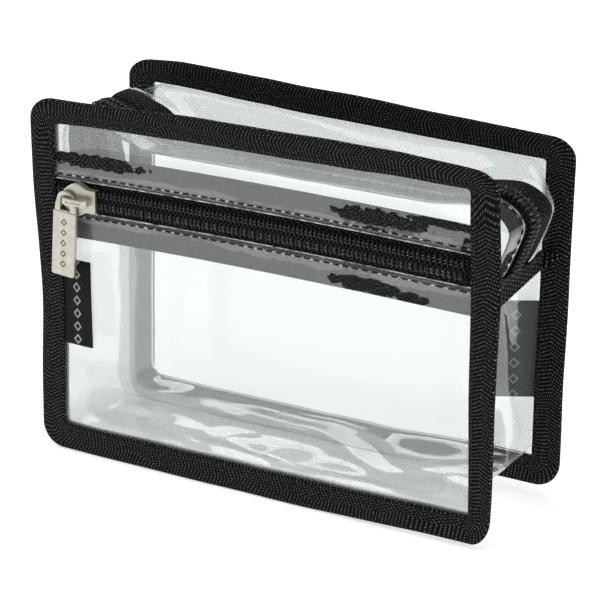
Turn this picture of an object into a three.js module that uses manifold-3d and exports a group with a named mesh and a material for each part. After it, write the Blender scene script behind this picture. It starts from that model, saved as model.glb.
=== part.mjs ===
// Clear zip-top makeup bag with a zipped front pocket. Millimetres, +Z up, front towards -Y.
// Each mesh is one sewn or fitted piece. The bag stands on the lower edges of its two bindings.

import * as THREE from "three";
import { mergeVertices } from "three/addons/utils/BufferGeometryUtils.js";
import Module from "manifold-3d";

const wasm = await Module();
wasm.setup();
const { Manifold, Mesh } = wasm;

// Overall sizes
const BAG_WIDTH = 200;
const BAG_HEIGHT = 144;
const BACK_LEAN = 6; // how far the back panel's top stands behind its foot
const HALF_WIDTH = BAG_WIDTH / 2;

// Woven binding, folded over the edges of everything sewn together
const BINDING_WIDTH = 11.5;
const BINDING_OUTER_RADIUS = 10;
const BINDING_INNER_RADIUS = 1.5;
const BINDING_SLOT_SHARE = 0.82; // of its width, measured from the inner edge
const CORNER_STEPS = 6;
const FRONT_BINDING = { outer: -31.75, inner: -28.25, slot: [-31.3, -28.7] };
const BACK_BINDING = { outer: 31.3, inner: 28.7, slot: [30.85, 29.15] };

// Depths of the layers held in the front and the back binding
const FRONT_LABEL_LAYER = [-31.2, -30.85];
const FRONT_PANEL_LAYER = [-30.75, -30.35];
const FRONT_TAPE_LAYER = [-30.25, -29.85];
const DIVIDER_LAYER = [-29.7, -29.3];
const FRONT_FLANGE_LAYER = [-29.2, -28.8];
const BACK_FLANGE_LAYER = [29.25, 29.65];
const BACK_LABEL_LAYER = [29.8, 30.15];
const BACK_PANEL_LAYER = [30.3, 30.7];

// Clear vinyl sheet
const VINYL = 0.4;
const PANEL_INSET = 2.7; // panel edge to the binding's outer edge
const PANEL_RADIUS = 9;
const DIVIDER_DEPTH = 6.5; // how far the pocket's back wall stands off its edges
const DIVIDER_RAMP = 10;
const DIVIDER_CLEARANCE = 0.25; // to the gusset's inner face, where the tray's ramp starts

// Gusset between the two faces
const GUSSET_INSET = 11.7;
const GUSSET_RADIUS = 6;
const FLANGE = 8.8;
const GUSSET_SPLIT = 92; // height where the lower gusset meets the zip gusset
const SPLIT_GAP = 0.2;
const SEAM_DEPTH = 28; // where the gusset turns into its flanges, front and back
const STRIP_DEPTHS = [25.5, 22.5, 19.5]; // stations between the seam and the zip tape's edge
const GUSSET_X = HALF_WIDTH - GUSSET_INSET;
const GUSSET_TOP = BAG_HEIGHT - GUSSET_INSET;

// Zips: woven tape, nylon coil and the vinyl edges beside it
const TAPE_HALF_WIDTH = 17;
const TAPE_SLIT = 0.6; // half the gap between the two tapes
const TAPE_THICKNESS = 0.4;
const COIL_REACH = 4; // half the width of the closed chain
const COIL_SLIT = 0.5;
const COIL_HEIGHT = 2.4;
const COIL_VALLEY = 0.6;
const COIL_PITCH = 2.2;
const COIL_GAP = 0.1; // coil to tape
const COIL_END = 97.8; // height where the main coil stops on each side, clear of the strap
const VINYL_EDGE = 6.25; // zip centre to the vinyl's cut edge
const FRONT_ZIP_HEIGHT = 107.2;
const PANEL_TO_TAPE = 0.1;
const TAPE_DEPTH = VINYL + PANEL_TO_TAPE; // the main tape's outer face below the vinyl's

// Line of the main zip from the right side, over the top, to the left side: x and z beside
// the seam's own place along the bag's edge, as the share of each of its three straight legs
const ZIP_LINE = [
  [0, 88.3, 92.2],
  [0.12, 90.4, 96],
  [0.28, 92.8, 101],
  [0.46, 95, 107],
  [0.64, 96.6, 113],
  [0.82, 97.2, 118.5],
  [1, 95.6, 122.6],
  [1.03, 92, 125.4],
  [1.06, 87, 127],
  [1.09, 81, 126.9],
  [1.12, 74, 126],
  [1.16, 64, 125],
  [1.84, -58, 125],
  [1.88, -65, 127.2],
  [1.92, -72, 130.2],
  [1.94, -79, 132.4],
  [1.96, -85.5, 134.4],
  [1.98, -90, 135],
  [2, -93.6, 133],
  [2.18, -95.3, 128],
  [2.4, -95.2, 120],
  [2.64, -93.2, 110],
  [2.84, -90.8, 100.6],
  [3, -88.3, 92.2],
];
const STRAIGHT_SPAN = 11; // the entry that starts the straight run the slider travels on
const SPAN_STEPS = 2;
const ZIP_LEVEL = 125;

// Slider, shared by both zips: along, across and out from the tape's outer face
const SLIDER_OUTLINE = [
  [-8, 0.9],
  [-7.5, 2],
  [-6.3, 3.5],
  [-4.8, 4.8],
  [-3, 5.9],
  [-1.2, 6.45],
  [0.6, 6.4],
  [2.2, 5.5],
  [3.8, 4.75],
  [5.6, 4.6],
  [8, 4.6],
];
const SLIDER_CHANNEL = [
  [-9, 5.1],
  [-3, 5],
  [1.5, 4.2],
  [9, 4.2],
];
const SLIDER_TOP = [2.8, 4.05];
const SLIDER_FLANGE_FOOT = 0.8;
const SLIDER_BOTTOM = [-1.7, -0.7];
const SLIDER_BOTTOM_START = -6.4;
const SLIDER_POST = { from: -6.2, to: -1, half: 0.25, overlap: 0.3 };
const SLIDER_BEVEL = { shell: 0.35, bottom: 0.25, crown: 0.35 };
const CROWN = { from: -5.4, to: 6.2, leg: 1.8, foot: 4.15, under: 7, top: 8.3, half: 1.35 };
const CROWN_BEND = { outer: 2.4, inner: 1.2 };
const CROWN_GROOVE = { from: -2.8, to: 4.2, half: 0.45, depth: 0.4 };
const SPRING = { from: 0, to: 3.5, low: 6.4, high: 6.8, half: 0.75, hook: 0.6, tip: 4.35 };
const PULL_PIVOT = -4.5; // the crown's left leg
const MAIN_PULL_PIVOT = 5.3; // the crown's right leg
const PULL = { half: 5.3, from: 5, to: 31.4, low: 4.4, high: 6.3, radius: 1, bevel: 0.35 };
const LOOP = { low: 4.5, high: 6, bevel: 0.35, top: 3.4, arch: 4, waist: 4.7, waistAt: 2.4, root: 1.5 };
const LOOP_HOLE = { half: 2.3, rise: 1.8, root: 0.4 };
const FRONT_SLIDER_X = -77;
const FRONT_PULL_TILT = 4; // degrees from hanging, towards the left side
const MAIN_SLIDER_X = -49.5;

// Ribbons and labels
const STRAP = { low: 87.4, high: 97, near: 0.3, thick: 1, front: -28, back: 28.4, flare: 0.56 };
const SIDE_LABEL = { left: -97, right: -76, low: 46, high: 81.5 };
const INNER_LABEL = { seam: 97, bend: 87.3, length: 15.5, angle: 30, low: 37.5, high: 76 };

// The seams' depths share the lean of the back panel, so each point's share follows its depth.
function leanShare(y) {
  const flat = TAPE_HALF_WIDTH;
  const ramp = 0.5 / (SEAM_DEPTH - flat);
  if (Math.abs(y) <= flat) {
    return 0.5;
  }
  const beyond = Math.min(Math.abs(y), SEAM_DEPTH) - flat;
  return y < 0 ? 0.5 - beyond * ramp : 0.5 + beyond * ramp;
}

function leaned(x, y, z) {
  return [x, y + leanShare(y) * BACK_LEAN * (z / BAG_HEIGHT), z];
}

function signedVolume(points, faces) {
  let sum = 0;
  for (let i = 0; i < faces.length; i += 3) {
    const [a, b, c] = [points[faces[i]], points[faces[i + 1]], points[faces[i + 2]]];
    sum += a[0] * (b[1] * c[2] - b[2] * c[1]);
    sum += a[1] * (b[2] * c[0] - b[0] * c[2]);
    sum += a[2] * (b[0] * c[1] - b[1] * c[0]);
  }
  return sum;
}

function geometryOf(points, faces) {
  const index = signedVolume(points, faces) < 0 ? faces.slice().reverse() : faces;
  const geometry = new THREE.BufferGeometry();
  geometry.setAttribute("position", new THREE.Float32BufferAttribute(points.flat(), 3));
  geometry.setIndex(index);
  return geometry;
}

// Triangles that close a section, wound the same way as its outline.
function capOf(section) {
  const outline = section.map(([a, b]) => new THREE.Vector2(a, b));
  const clockwise = THREE.ShapeUtils.isClockWise(outline);
  const triangles = THREE.ShapeUtils.triangulateShape(outline, []);
  return triangles.map(([a, b, c]) => {
    const same = THREE.ShapeUtils.isClockWise([outline[a], outline[b], outline[c]]) === clockwise;
    return same ? [a, b, c] : [a, c, b];
  });
}

// A closed solid through rings of matching points; a loop has no ends to close.
function loft(rings, section, loop = false) {
  const count = section.length;
  const points = rings.flat();
  const faces = [];
  const spans = loop ? rings.length : rings.length - 1;
  for (let i = 0; i < spans; i += 1) {
    const here = i * count;
    const next = ((i + 1) % rings.length) * count;
    for (let j = 0; j < count; j += 1) {
      const side = (j + 1) % count;
      faces.push(here + j, here + side, next + side);
      faces.push(here + j, next + side, next + j);
    }
  }
  if (!loop) {
    const last = (rings.length - 1) * count;
    for (const [a, b, c] of capOf(section)) {
      faces.push(a, c, b);
      faces.push(last + a, last + b, last + c);
    }
  }
  return geometryOf(points, faces);
}

function outwardNormal(from, to) {
  const length = Math.hypot(to[0] - from[0], to[1] - from[1]);
  return [(to[1] - from[1]) / length, -(to[0] - from[0]) / length];
}

// Moves an open path in the XZ plane sideways, mitred at each bend.
function offsetPath(path, distance) {
  return path.map((point, i) => {
    const before = i > 0 ? outwardNormal(path[i - 1], point) : null;
    const after = i < path.length - 1 ? outwardNormal(point, path[i + 1]) : null;
    const a = before || after;
    const b = after || before;
    const scale = distance / (1 + a[0] * b[0] + a[1] * b[1]);
    return [point[0] + (a[0] + b[0]) * scale, point[1] + (a[1] + b[1]) * scale];
  });
}

// Sweeps a section of [out, y] points along the path that belongs to each point's own y.
function sweep(pathAt, section) {
  const columns = section.map(([out, y]) =>
    offsetPath(pathAt(y), out).map(([x, z]) => leaned(x, y, z)),
  );
  const rings = columns[0].map((_, i) => columns.map((column) => column[i]));
  return loft(rings, section);
}

function arc(centre, radius, from, to, steps) {
  const points = [];
  for (let i = 0; i <= steps; i += 1) {
    const angle = THREE.MathUtils.degToRad(from + ((to - from) * i) / steps);
    points.push([centre[0] + radius * Math.cos(angle), centre[1] + radius * Math.sin(angle)]);
  }
  return points;
}

// A rounded rectangle in XZ, counter-clockwise from the lower right corner.
function roundedOutline(inset, radius, low = inset, high = BAG_HEIGHT - inset) {
  const x = HALF_WIDTH - inset - radius;
  return [
    ...arc([x, low + radius], radius, -90, 0, CORNER_STEPS),
    ...arc([x, high - radius], radius, 0, 90, CORNER_STEPS),
    ...arc([-x, high - radius], radius, 90, 180, CORNER_STEPS),
    ...arc([-x, low + radius], radius, 180, 270, CORNER_STEPS),
  ];
}

// A flat plate of any outline in XZ between two depths.
function plate(outline, [front, back]) {
  const section = outline.map(([x, z]) => [x, z]);
  const rings = [front, back].map((y) => outline.map(([x, z]) => leaned(x, y, z)));
  return loft(rings, section);
}

function binding({ outer, inner, slot }) {
  const outside = roundedOutline(0, BINDING_OUTER_RADIUS);
  const inside = roundedOutline(BINDING_WIDTH, BINDING_INNER_RADIUS);
  const section = [
    [0, outer],
    [1, outer],
    [1, inner],
    [0, inner],
    [0, slot[1]],
    [BINDING_SLOT_SHARE, slot[1]],
    [BINDING_SLOT_SHARE, slot[0]],
    [0, slot[0]],
  ];
  const rings = outside.map(([x, z], i) =>
    section.map(([share, y]) => {
      const [a, b] = inside[i];
      return leaned(a + (x - a) * share, y, b + (z - b) * share);
    }),
  );
  return loft(rings, section, true);
}

function backPanel() {
  return plate(roundedOutline(PANEL_INSET, PANEL_RADIUS), BACK_PANEL_LAYER);
}

// One of the two front sheets: the outline's corners on the zip side are square.
function frontPanel(low, high, roundLow) {
  const x = HALF_WIDTH - PANEL_INSET;
  const edge = x - PANEL_RADIUS;
  const outline = roundLow
    ? [
        [x, high],
        [-x, high],
        ...arc([-edge, low + PANEL_RADIUS], PANEL_RADIUS, 180, 270, CORNER_STEPS),
        ...arc([edge, low + PANEL_RADIUS], PANEL_RADIUS, 270, 360, CORNER_STEPS),
      ]
    : [
        [-x, low],
        [x, low],
        ...arc([edge, high - PANEL_RADIUS], PANEL_RADIUS, 0, 90, CORNER_STEPS),
        ...arc([-edge, high - PANEL_RADIUS], PANEL_RADIUS, 90, 180, CORNER_STEPS),
      ];
  return plate(outline, FRONT_PANEL_LAYER);
}

// The pocket's back wall: a shallow tray whose flat rim is sewn into the front binding.
function divider() {
  const [front, back] = DIVIDER_LAYER;
  const rim = roundedOutline(PANEL_INSET, PANEL_RADIUS);
  const start = VINYL + DIVIDER_CLEARANCE;
  const mouth = roundedOutline(GUSSET_INSET + start, GUSSET_RADIUS - start);
  const floor = roundedOutline(GUSSET_INSET + start + DIVIDER_RAMP, BINDING_INNER_RADIUS);
  const centre = [0, BAG_HEIGHT / 2];
  const layers = [
    [rim, 0],
    [mouth, 0],
    [floor, DIVIDER_DEPTH],
  ];
  const count = rim.length;
  const points = [];
  for (const y of [front, back]) {
    for (const [outline, depth] of layers) {
      points.push(...outline.map(([x, z]) => [x, y + depth, z]));
    }
    points.push([centre[0], y + DIVIDER_DEPTH, centre[1]]);
  }
  const side = layers.length * count + 1;
  const faces = [];
  for (let i = 0; i < count; i += 1) {
    const next = (i + 1) % count;
    for (let layer = 0; layer < layers.length - 1; layer += 1) {
      const a = layer * count + i;
      const b = layer * count + next;
      faces.push(a, b, b + count, a, b + count, a + count);
      faces.push(side + a, side + b + count, side + b, side + a, side + a + count, side + b + count);
    }
    const innermost = (layers.length - 1) * count;
    faces.push(innermost + i, innermost + next, side - 1);
    faces.push(side + innermost + i, side + side - 1, side + innermost + next);
    faces.push(i, side + next, next, i, side + i, side + next);
  }
  return geometryOf(points, faces);
}

// Path of the lower gusset from the left split, round the bottom, to the right split.
function lowerGussetPath() {
  const x = GUSSET_X - GUSSET_RADIUS;
  const z = GUSSET_INSET + GUSSET_RADIUS;
  return [
    [-GUSSET_X, GUSSET_SPLIT - SPLIT_GAP],
    ...arc([-x, z], GUSSET_RADIUS, 180, 270, CORNER_STEPS),
    ...arc([x, z], GUSSET_RADIUS, 270, 360, CORNER_STEPS),
    [GUSSET_X, GUSSET_SPLIT - SPLIT_GAP],
  ];
}

function lowerGusset() {
  const path = lowerGussetPath();
  const [frontOut, frontIn] = FRONT_FLANGE_LAYER;
  const [backIn, backOut] = BACK_FLANGE_LAYER;
  return sweep(() => path, [
    [-VINYL, frontOut],
    [-VINYL, backOut],
    [FLANGE, backOut],
    [FLANGE, backIn],
    [0, backIn],
    [0, frontIn],
    [FLANGE, frontIn],
    [FLANGE, frontOut],
  ]);
}

// The seam's place in the XZ plane: 0 to 1 up the right side, 1 to 2 over the top, 2 to 3 down
// the left side, with a rounded corner where the legs meet.
function seamPoint(share) {
  const base = GUSSET_SPLIT + SPLIT_GAP;
  const side = GUSSET_TOP - base;
  const corner = (x, z) => {
    const across = Math.max(Math.abs(x) - (GUSSET_X - GUSSET_RADIUS), 0);
    const up = Math.max(z - (GUSSET_TOP - GUSSET_RADIUS), 0);
    const reach = Math.hypot(across, up);
    const pull = reach > GUSSET_RADIUS ? GUSSET_RADIUS / reach : 1;
    const sign = Math.sign(x);
    return [
      across > 0 ? sign * (GUSSET_X - GUSSET_RADIUS + across * pull) : x,
      up > 0 ? GUSSET_TOP - GUSSET_RADIUS + up * pull : z,
    ];
  };
  if (share <= 1) {
    return corner(GUSSET_X, base + side * share);
  }
  if (share <= 2) {
    return corner(GUSSET_X * (3 - 2 * share), GUSSET_TOP);
  }
  return corner(-GUSSET_X, base + side * (3 - share));
}

// Matching stations along the seam and along the zip's own line.
function zipStations() {
  const last = ZIP_LINE.length - 1;
  const curve = new THREE.CatmullRomCurve3(
    ZIP_LINE.map(([, x, z]) => new THREE.Vector3(x, 0, z)),
    false,
    "centripetal",
  );
  const stations = [];
  for (let i = 0; i < last; i += 1) {
    const steps = i === STRAIGHT_SPAN ? 1 : SPAN_STEPS;
    for (let k = 0; k < steps; k += 1) {
      const share = k / steps;
      const place = curve.getPoint((i + share) / last);
      const seamShare = ZIP_LINE[i][0] + (ZIP_LINE[i + 1][0] - ZIP_LINE[i][0]) * share;
      stations.push({ seam: seamPoint(seamShare), zip: [place.x, place.z] });
    }
  }
  const [share, x, z] = ZIP_LINE[last];
  stations.push({ seam: seamPoint(share), zip: [x, z] });
  return stations;
}

const STATIONS = zipStations();

// The zip gusset's line at any depth: the seam's at both edges and the zip's own in between.
function zipGussetPath(y) {
  const t = THREE.MathUtils.clamp((SEAM_DEPTH - Math.abs(y)) / (SEAM_DEPTH - TAPE_HALF_WIDTH), 0, 1);
  const share = t * t * (3 - 2 * t);
  return STATIONS.map(({ seam, zip }) => [
    seam[0] + (zip[0] - seam[0]) * share,
    seam[1] + (zip[1] - seam[1]) * share,
  ]);
}

function gussetStrip(side) {
  const [outer, inner] = side < 0 ? FRONT_FLANGE_LAYER : [BACK_FLANGE_LAYER[1], BACK_FLANGE_LAYER[0]];
  const across = [SEAM_DEPTH, ...STRIP_DEPTHS, TAPE_HALF_WIDTH, VINYL_EDGE].map((y) => side * y);
  return sweep(zipGussetPath, [
    [FLANGE, outer],
    [FLANGE, inner],
    [0, inner],
    ...across.map((y) => [0, y]),
    ...across.toReversed().map((y) => [-VINYL, y]),
    [-VINYL, outer],
  ]);
}

function mainTape(side) {
  return sweep(zipGussetPath, [
    [-TAPE_DEPTH, side * TAPE_SLIT],
    [-TAPE_DEPTH, side * TAPE_HALF_WIDTH],
    [-TAPE_DEPTH - TAPE_THICKNESS, side * TAPE_HALF_WIDTH],
    [-TAPE_DEPTH - TAPE_THICKNESS, side * TAPE_SLIT],
  ]);
}

// Points at even steps along an open path.
function evenly(path, step) {
  const curve = new THREE.CurvePath();
  for (let i = 0; i < path.length - 1; i += 1) {
    curve.add(new THREE.LineCurve(new THREE.Vector2(...path[i]), new THREE.Vector2(...path[i + 1])));
  }
  const count = Math.round(curve.getLength() / step);
  return Array.from({ length: count + 1 }, (_, i) => {
    const { x, y } = curve.getPointAt(i / count);
    return [x, y];
  });
}

// A coil half as a ribbed bar: a ridge and a valley for each turn of the coil.
function coil(stations, section, place) {
  const tall = section.map(([out]) => offsetPath(stations, out));
  const short = section.map(([out]) => offsetPath(stations, out > COIL_GAP ? out - COIL_VALLEY : out));
  const rings = stations.map((_, i) =>
    section.map(([, across], j) => {
      const [x, z] = (i % 2 ? tall : short)[j][i];
      return place(x, across, z);
    }),
  );
  return loft(rings, section);
}

function coilSection(side, base) {
  return [
    [base, side * COIL_SLIT],
    [base, side * COIL_REACH],
    [base + COIL_HEIGHT, side * COIL_REACH],
    [base + COIL_HEIGHT, side * COIL_SLIT],
  ];
}

function mainCoil(side) {
  const stations = evenly(zipGussetPath(0), COIL_PITCH / 2).filter(([, z]) => z > COIL_END);
  return coil(stations, coilSection(side, COIL_GAP - TAPE_DEPTH), leaned);
}

// The front zip lies flat: its path runs along x, and out from the tape is towards -Y.
function frontCoil(side) {
  const end = HALF_WIDTH - GUSSET_INSET;
  const path = [
    [end, 0],
    [-end, 0],
  ];
  const face = FRONT_TAPE_LAYER[0];
  return coil(evenly(path, COIL_PITCH / 2), coilSection(side, COIL_GAP), (x, across, out) => [
    x,
    face - out,
    FRONT_ZIP_HEIGHT + across,
  ]);
}

function frontTape(side) {
  const x = HALF_WIDTH - PANEL_INSET;
  const near = FRONT_ZIP_HEIGHT + side * TAPE_SLIT;
  const far = FRONT_ZIP_HEIGHT + side * TAPE_HALF_WIDTH;
  const outline = [
    [-x, near],
    [x, near],
    [x, far],
    [-x, far],
  ];
  return plate(outline, FRONT_TAPE_LAYER);
}

function asSolid(geometry) {
  const bare = geometry.index ? geometry.toNonIndexed() : geometry.clone();
  bare.deleteAttribute("normal");
  bare.deleteAttribute("uv");
  const merged = mergeVertices(bare, 1e-4);
  const vertProperties = Float32Array.from(merged.attributes.position.array);
  const triVerts = Uint32Array.from(merged.index.array);
  return new Manifold(new Mesh({ numProp: 3, vertProperties, triVerts }));
}

function asGeometry(solid) {
  const { vertProperties, triVerts } = solid.getMesh();
  const geometry = new THREE.BufferGeometry();
  geometry.setAttribute("position", new THREE.Float32BufferAttribute(vertProperties, 3));
  geometry.setIndex(Array.from(triVerts));
  return geometry;
}

function shapeOf(points) {
  return new THREE.Shape(points.map(([x, y]) => new THREE.Vector2(x, y)));
}

// A half outline of [along, across] points, mirrored into a closed one.
function mirrored(half) {
  return [...half, ...half.toReversed().map(([u, v]) => [u, -v])];
}

function prism(points, low, high, bevel = 0) {
  const geometry = new THREE.ExtrudeGeometry(shapeOf(points), {
    depth: high - low - 2 * bevel,
    bevelEnabled: bevel > 0,
    bevelThickness: bevel,
    bevelSize: bevel,
    bevelOffset: -bevel,
    bevelSegments: 2,
  });
  geometry.translate(0, 0, low + bevel);
  return asSolid(geometry);
}

function block([u0, u1], [v0, v1], [w0, w1]) {
  const geometry = new THREE.BoxGeometry(u1 - u0, v1 - v0, w1 - w0);
  geometry.translate((u0 + u1) / 2, (v0 + v1) / 2, (w0 + w1) / 2);
  return asSolid(geometry);
}

// Upper shell with its side flanges, the plate behind the tape, and the web between them.
function sliderBody() {
  const outline = mirrored(SLIDER_OUTLINE);
  const shell = prism(outline, SLIDER_FLANGE_FOOT, SLIDER_TOP[1], SLIDER_BEVEL.shell);
  const channel = prism(mirrored(SLIDER_CHANNEL), SLIDER_FLANGE_FOOT - 1, SLIDER_TOP[0]);
  const back = mirrored(SLIDER_OUTLINE.filter(([u]) => u > SLIDER_BOTTOM_START));
  const bottom = prism(back, ...SLIDER_BOTTOM, SLIDER_BEVEL.bottom);
  const { from, to, half, overlap } = SLIDER_POST;
  const web = block([from, to], [-half, half], [SLIDER_BOTTOM[0] + overlap, SLIDER_TOP[0] + overlap]);
  return asGeometry(shell.subtract(channel).add(web).add(bottom));
}

// The arch over the slider that the pull hangs from, with a groove along its back.
function sliderCrown() {
  const { from, to, leg, foot, under, top, half } = CROWN;
  const { outer, inner } = CROWN_BEND;
  const profile = [
    [from, foot],
    ...arc([from + outer, top - outer], outer, 180, 90, 5),
    ...arc([to - outer, top - outer], outer, 90, 0, 5),
    [to, foot],
    [to - leg, foot],
    ...arc([to - leg - inner, under - inner], inner, 0, 90, 4),
    ...arc([from + leg + inner, under - inner], inner, 90, 180, 4),
    [from + leg, foot],
  ];
  const arch = prism(profile, -half, half, SLIDER_BEVEL.crown).rotate([90, 0, 0]);
  const { from: start, to: end, half: width, depth } = CROWN_GROOVE;
  const groove = block([start, end], [-width, width], [top - depth, top + 1]);
  return asGeometry(arch.subtract(groove));
}

// The locking leaf under the crown, its hook turned down at the end away from the pull.
function sliderSpring(hookAtMouth) {
  const { from, to, low, high, half, hook, tip } = SPRING;
  const leaf = block([from, to], [-half, half], [low, high]);
  const span = hookAtMouth ? [to - hook, to] : [from, from + hook];
  const claw = block(span, [-half, half], [tip, high]);
  return asGeometry(leaf.add(claw));
}

// The pull hangs along -across from its pivot at the origin: a loop, then a thicker plate.
function pullShape() {
  const { half, from, to, low, high, radius, bevel } = PULL;
  const tab = [
    ...arc([half - radius, -to + radius], radius, -90, 0, 3),
    [half, -from],
    [-half, -from],
    ...arc([-half + radius, -to + radius], radius, 180, 270, 3),
  ];
  const ring = [
    [half - bevel, -from - LOOP.root],
    [LOOP.waist, -LOOP.waistAt],
    ...arc([0, 0], LOOP.arch, 0, 180, 8).map(([x, y]) => [x, (y * LOOP.top) / LOOP.arch]),
    [-LOOP.waist, -LOOP.waistAt],
    [-half + bevel, -from - LOOP.root],
  ];
  const hole = [
    [LOOP_HOLE.half, -from + LOOP_HOLE.root],
    ...arc([0, 0], LOOP_HOLE.half, 0, 180, 8).map(([x, y]) => [
      x,
      (y * LOOP_HOLE.rise) / LOOP_HOLE.half,
    ]),
    [-LOOP_HOLE.half, -from + LOOP_HOLE.root],
  ];
  const loop = prism(ring, LOOP.low, LOOP.high, LOOP.bevel);
  const eye = prism(hole, LOOP.low - 1, LOOP.high + 1);
  return prism(tab, low, high, bevel).add(loop.subtract(eye));
}

function pull(pivot, degrees) {
  return asGeometry(pullShape().rotate([0, 0, degrees]).translate([pivot, 0, 0]));
}

// Slider pieces as drawn lie on a zip that faces +Z along x.
function onMainZip(geometry) {
  const [, shift] = leaned(0, 0, ZIP_LEVEL);
  return geometry.translate(MAIN_SLIDER_X, shift, ZIP_LEVEL - TAPE_DEPTH);
}

function onFrontZip(geometry) {
  geometry.rotateX(Math.PI / 2);
  return geometry.translate(FRONT_SLIDER_X, FRONT_TAPE_LAYER[0], FRONT_ZIP_HEIGHT);
}

// The ribbon over the end of the zip gusset, from binding to binding.
function zipEndStrap(side) {
  const { low, high, near, thick, front, back, flare } = STRAP;
  const inner = GUSSET_X + near;
  const rise = (high - GUSSET_SPLIT) * flare; // the gusset swells outwards above the split
  const section = [
    [inner, low],
    [inner, GUSSET_SPLIT],
    [inner + rise, high],
    [inner + rise + thick, high],
    [inner + thick, GUSSET_SPLIT],
    [inner + thick, low],
  ];
  const rings = [front, -TAPE_HALF_WIDTH, TAPE_HALF_WIDTH, back].map((y) =>
    section.map(([x, z]) => leaned(side * x, y, z)),
  );
  return loft(rings, section);
}

function sideLabel() {
  const { left, right, low, high } = SIDE_LABEL;
  const outline = [
    [left, low],
    [right, low],
    [right, high],
    [left, high],
  ];
  return plate(outline, FRONT_LABEL_LAYER);
}

// The label inside the bag leaves the back right seam and stands off the back panel.
function innerLabel() {
  const { seam, bend, length, angle, low, high } = INNER_LABEL;
  const [near, far] = BACK_LABEL_LAYER;
  const turn = THREE.MathUtils.degToRad(angle);
  const tip = [bend - length * Math.cos(turn), near - length * Math.sin(turn)];
  const thick = far - near;
  const section = [
    [seam, near],
    [bend, near],
    tip,
    [tip[0] - thick * Math.sin(turn), tip[1] + thick * Math.cos(turn)],
    [bend - thick * Math.tan(turn / 2), far],
    [seam, far],
  ];
  const rings = [low, high].map((z) =>
    section.map(([x, y]) => {
      const shift = BACK_LEAN * (z / BAG_HEIGHT);
      return [x, y + shift, z];
    }),
  );
  return loft(rings, section);
}

const FINISHES = {
  vinyl: { color: 0xeef2f2, roughness: 0.12, metalness: 0, transparent: true, opacity: 0.35 },
  webbing: { color: 0x1b1b1c, roughness: 0.85, metalness: 0 },
  tape: { color: 0x202022, roughness: 0.9, metalness: 0 },
  nylon: { color: 0x161617, roughness: 0.4, metalness: 0 },
  nickel: { color: 0xc9c3b2, roughness: 0.35, metalness: 0.9 },
  label: { color: 0x141416, roughness: 0.8, metalness: 0 },
};

const bag = new THREE.Group();
bag.name = "clear_makeup_bag";

function addPiece(name, finish, geometry) {
  const mesh = new THREE.Mesh(geometry, new THREE.MeshStandardMaterial(FINISHES[finish]));
  mesh.name = name;
  bag.add(mesh);
}

function addPanels() {
  const top = BAG_HEIGHT - PANEL_INSET;
  addPiece("front_panel_lower", "vinyl", frontPanel(PANEL_INSET, FRONT_ZIP_HEIGHT - VINYL_EDGE, true));
  addPiece("front_panel_upper", "vinyl", frontPanel(FRONT_ZIP_HEIGHT + VINYL_EDGE, top, false));
  addPiece("pocket_divider", "vinyl", divider());
  addPiece("back_panel", "vinyl", backPanel());
  addPiece("lower_gusset", "vinyl", lowerGusset());
  addPiece("zip_gusset_front", "vinyl", gussetStrip(-1));
  addPiece("zip_gusset_back", "vinyl", gussetStrip(1));
  addPiece("front_binding", "webbing", binding(FRONT_BINDING));
  addPiece("back_binding", "webbing", binding(BACK_BINDING));
}

function addZips() {
  addPiece("front_zip_tape_upper", "tape", frontTape(1));
  addPiece("front_zip_tape_lower", "tape", frontTape(-1));
  addPiece("front_zip_coil_upper", "nylon", frontCoil(1));
  addPiece("front_zip_coil_lower", "nylon", frontCoil(-1));
  addPiece("main_zip_tape_front", "tape", mainTape(-1));
  addPiece("main_zip_tape_back", "tape", mainTape(1));
  addPiece("main_zip_coil_front", "nylon", mainCoil(-1));
  addPiece("main_zip_coil_back", "nylon", mainCoil(1));
}

function addSliders() {
  const sliders = [
    { name: "front", place: onFrontZip, pivot: PULL_PIVOT, turn: -FRONT_PULL_TILT },
    { name: "main", place: onMainZip, pivot: MAIN_PULL_PIVOT, turn: 90 },
  ];
  for (const { name, place, pivot, turn } of sliders) {
    addPiece(`${name}_slider_body`, "nickel", place(sliderBody()));
    addPiece(`${name}_slider_crown`, "nickel", place(sliderCrown()));
    addPiece(`${name}_slider_spring`, "nickel", place(sliderSpring(pivot < 0)));
    addPiece(`${name}_pull`, "nickel", place(pull(pivot, turn)));
  }
}

function addRibbons() {
  addPiece("zip_end_strap_left", "webbing", zipEndStrap(-1));
  addPiece("zip_end_strap_right", "webbing", zipEndStrap(1));
  addPiece("side_label", "label", sideLabel());
  addPiece("inner_label", "label", innerLabel());
}

addPanels();
addZips();
addSliders();
addRibbons();

// The frame's origin is under the middle of the whole bag's box.
bag.updateMatrixWorld(true);
const box = new THREE.Box3().setFromObject(bag, true);
bag.position.set(-(box.min.x + box.max.x) / 2, -(box.min.y + box.max.y) / 2, -box.min.z);
bag.updateMatrixWorld(true);

export default bag;
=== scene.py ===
"""Clear vinyl makeup bag with a zip top, a zipped front pocket and black woven binding.

Sizes are in millimetres in the bag's own frame: +X to the right, +Y to the back, +Z up.
Meshes are made in that frame and turned to metres in the row frame as they are stored.
"""

import logging
import math
from collections.abc import Callable, Sequence
from dataclasses import dataclass, field
from enum import Enum

import bpy
import numpy as np
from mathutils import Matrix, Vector, noise


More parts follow.
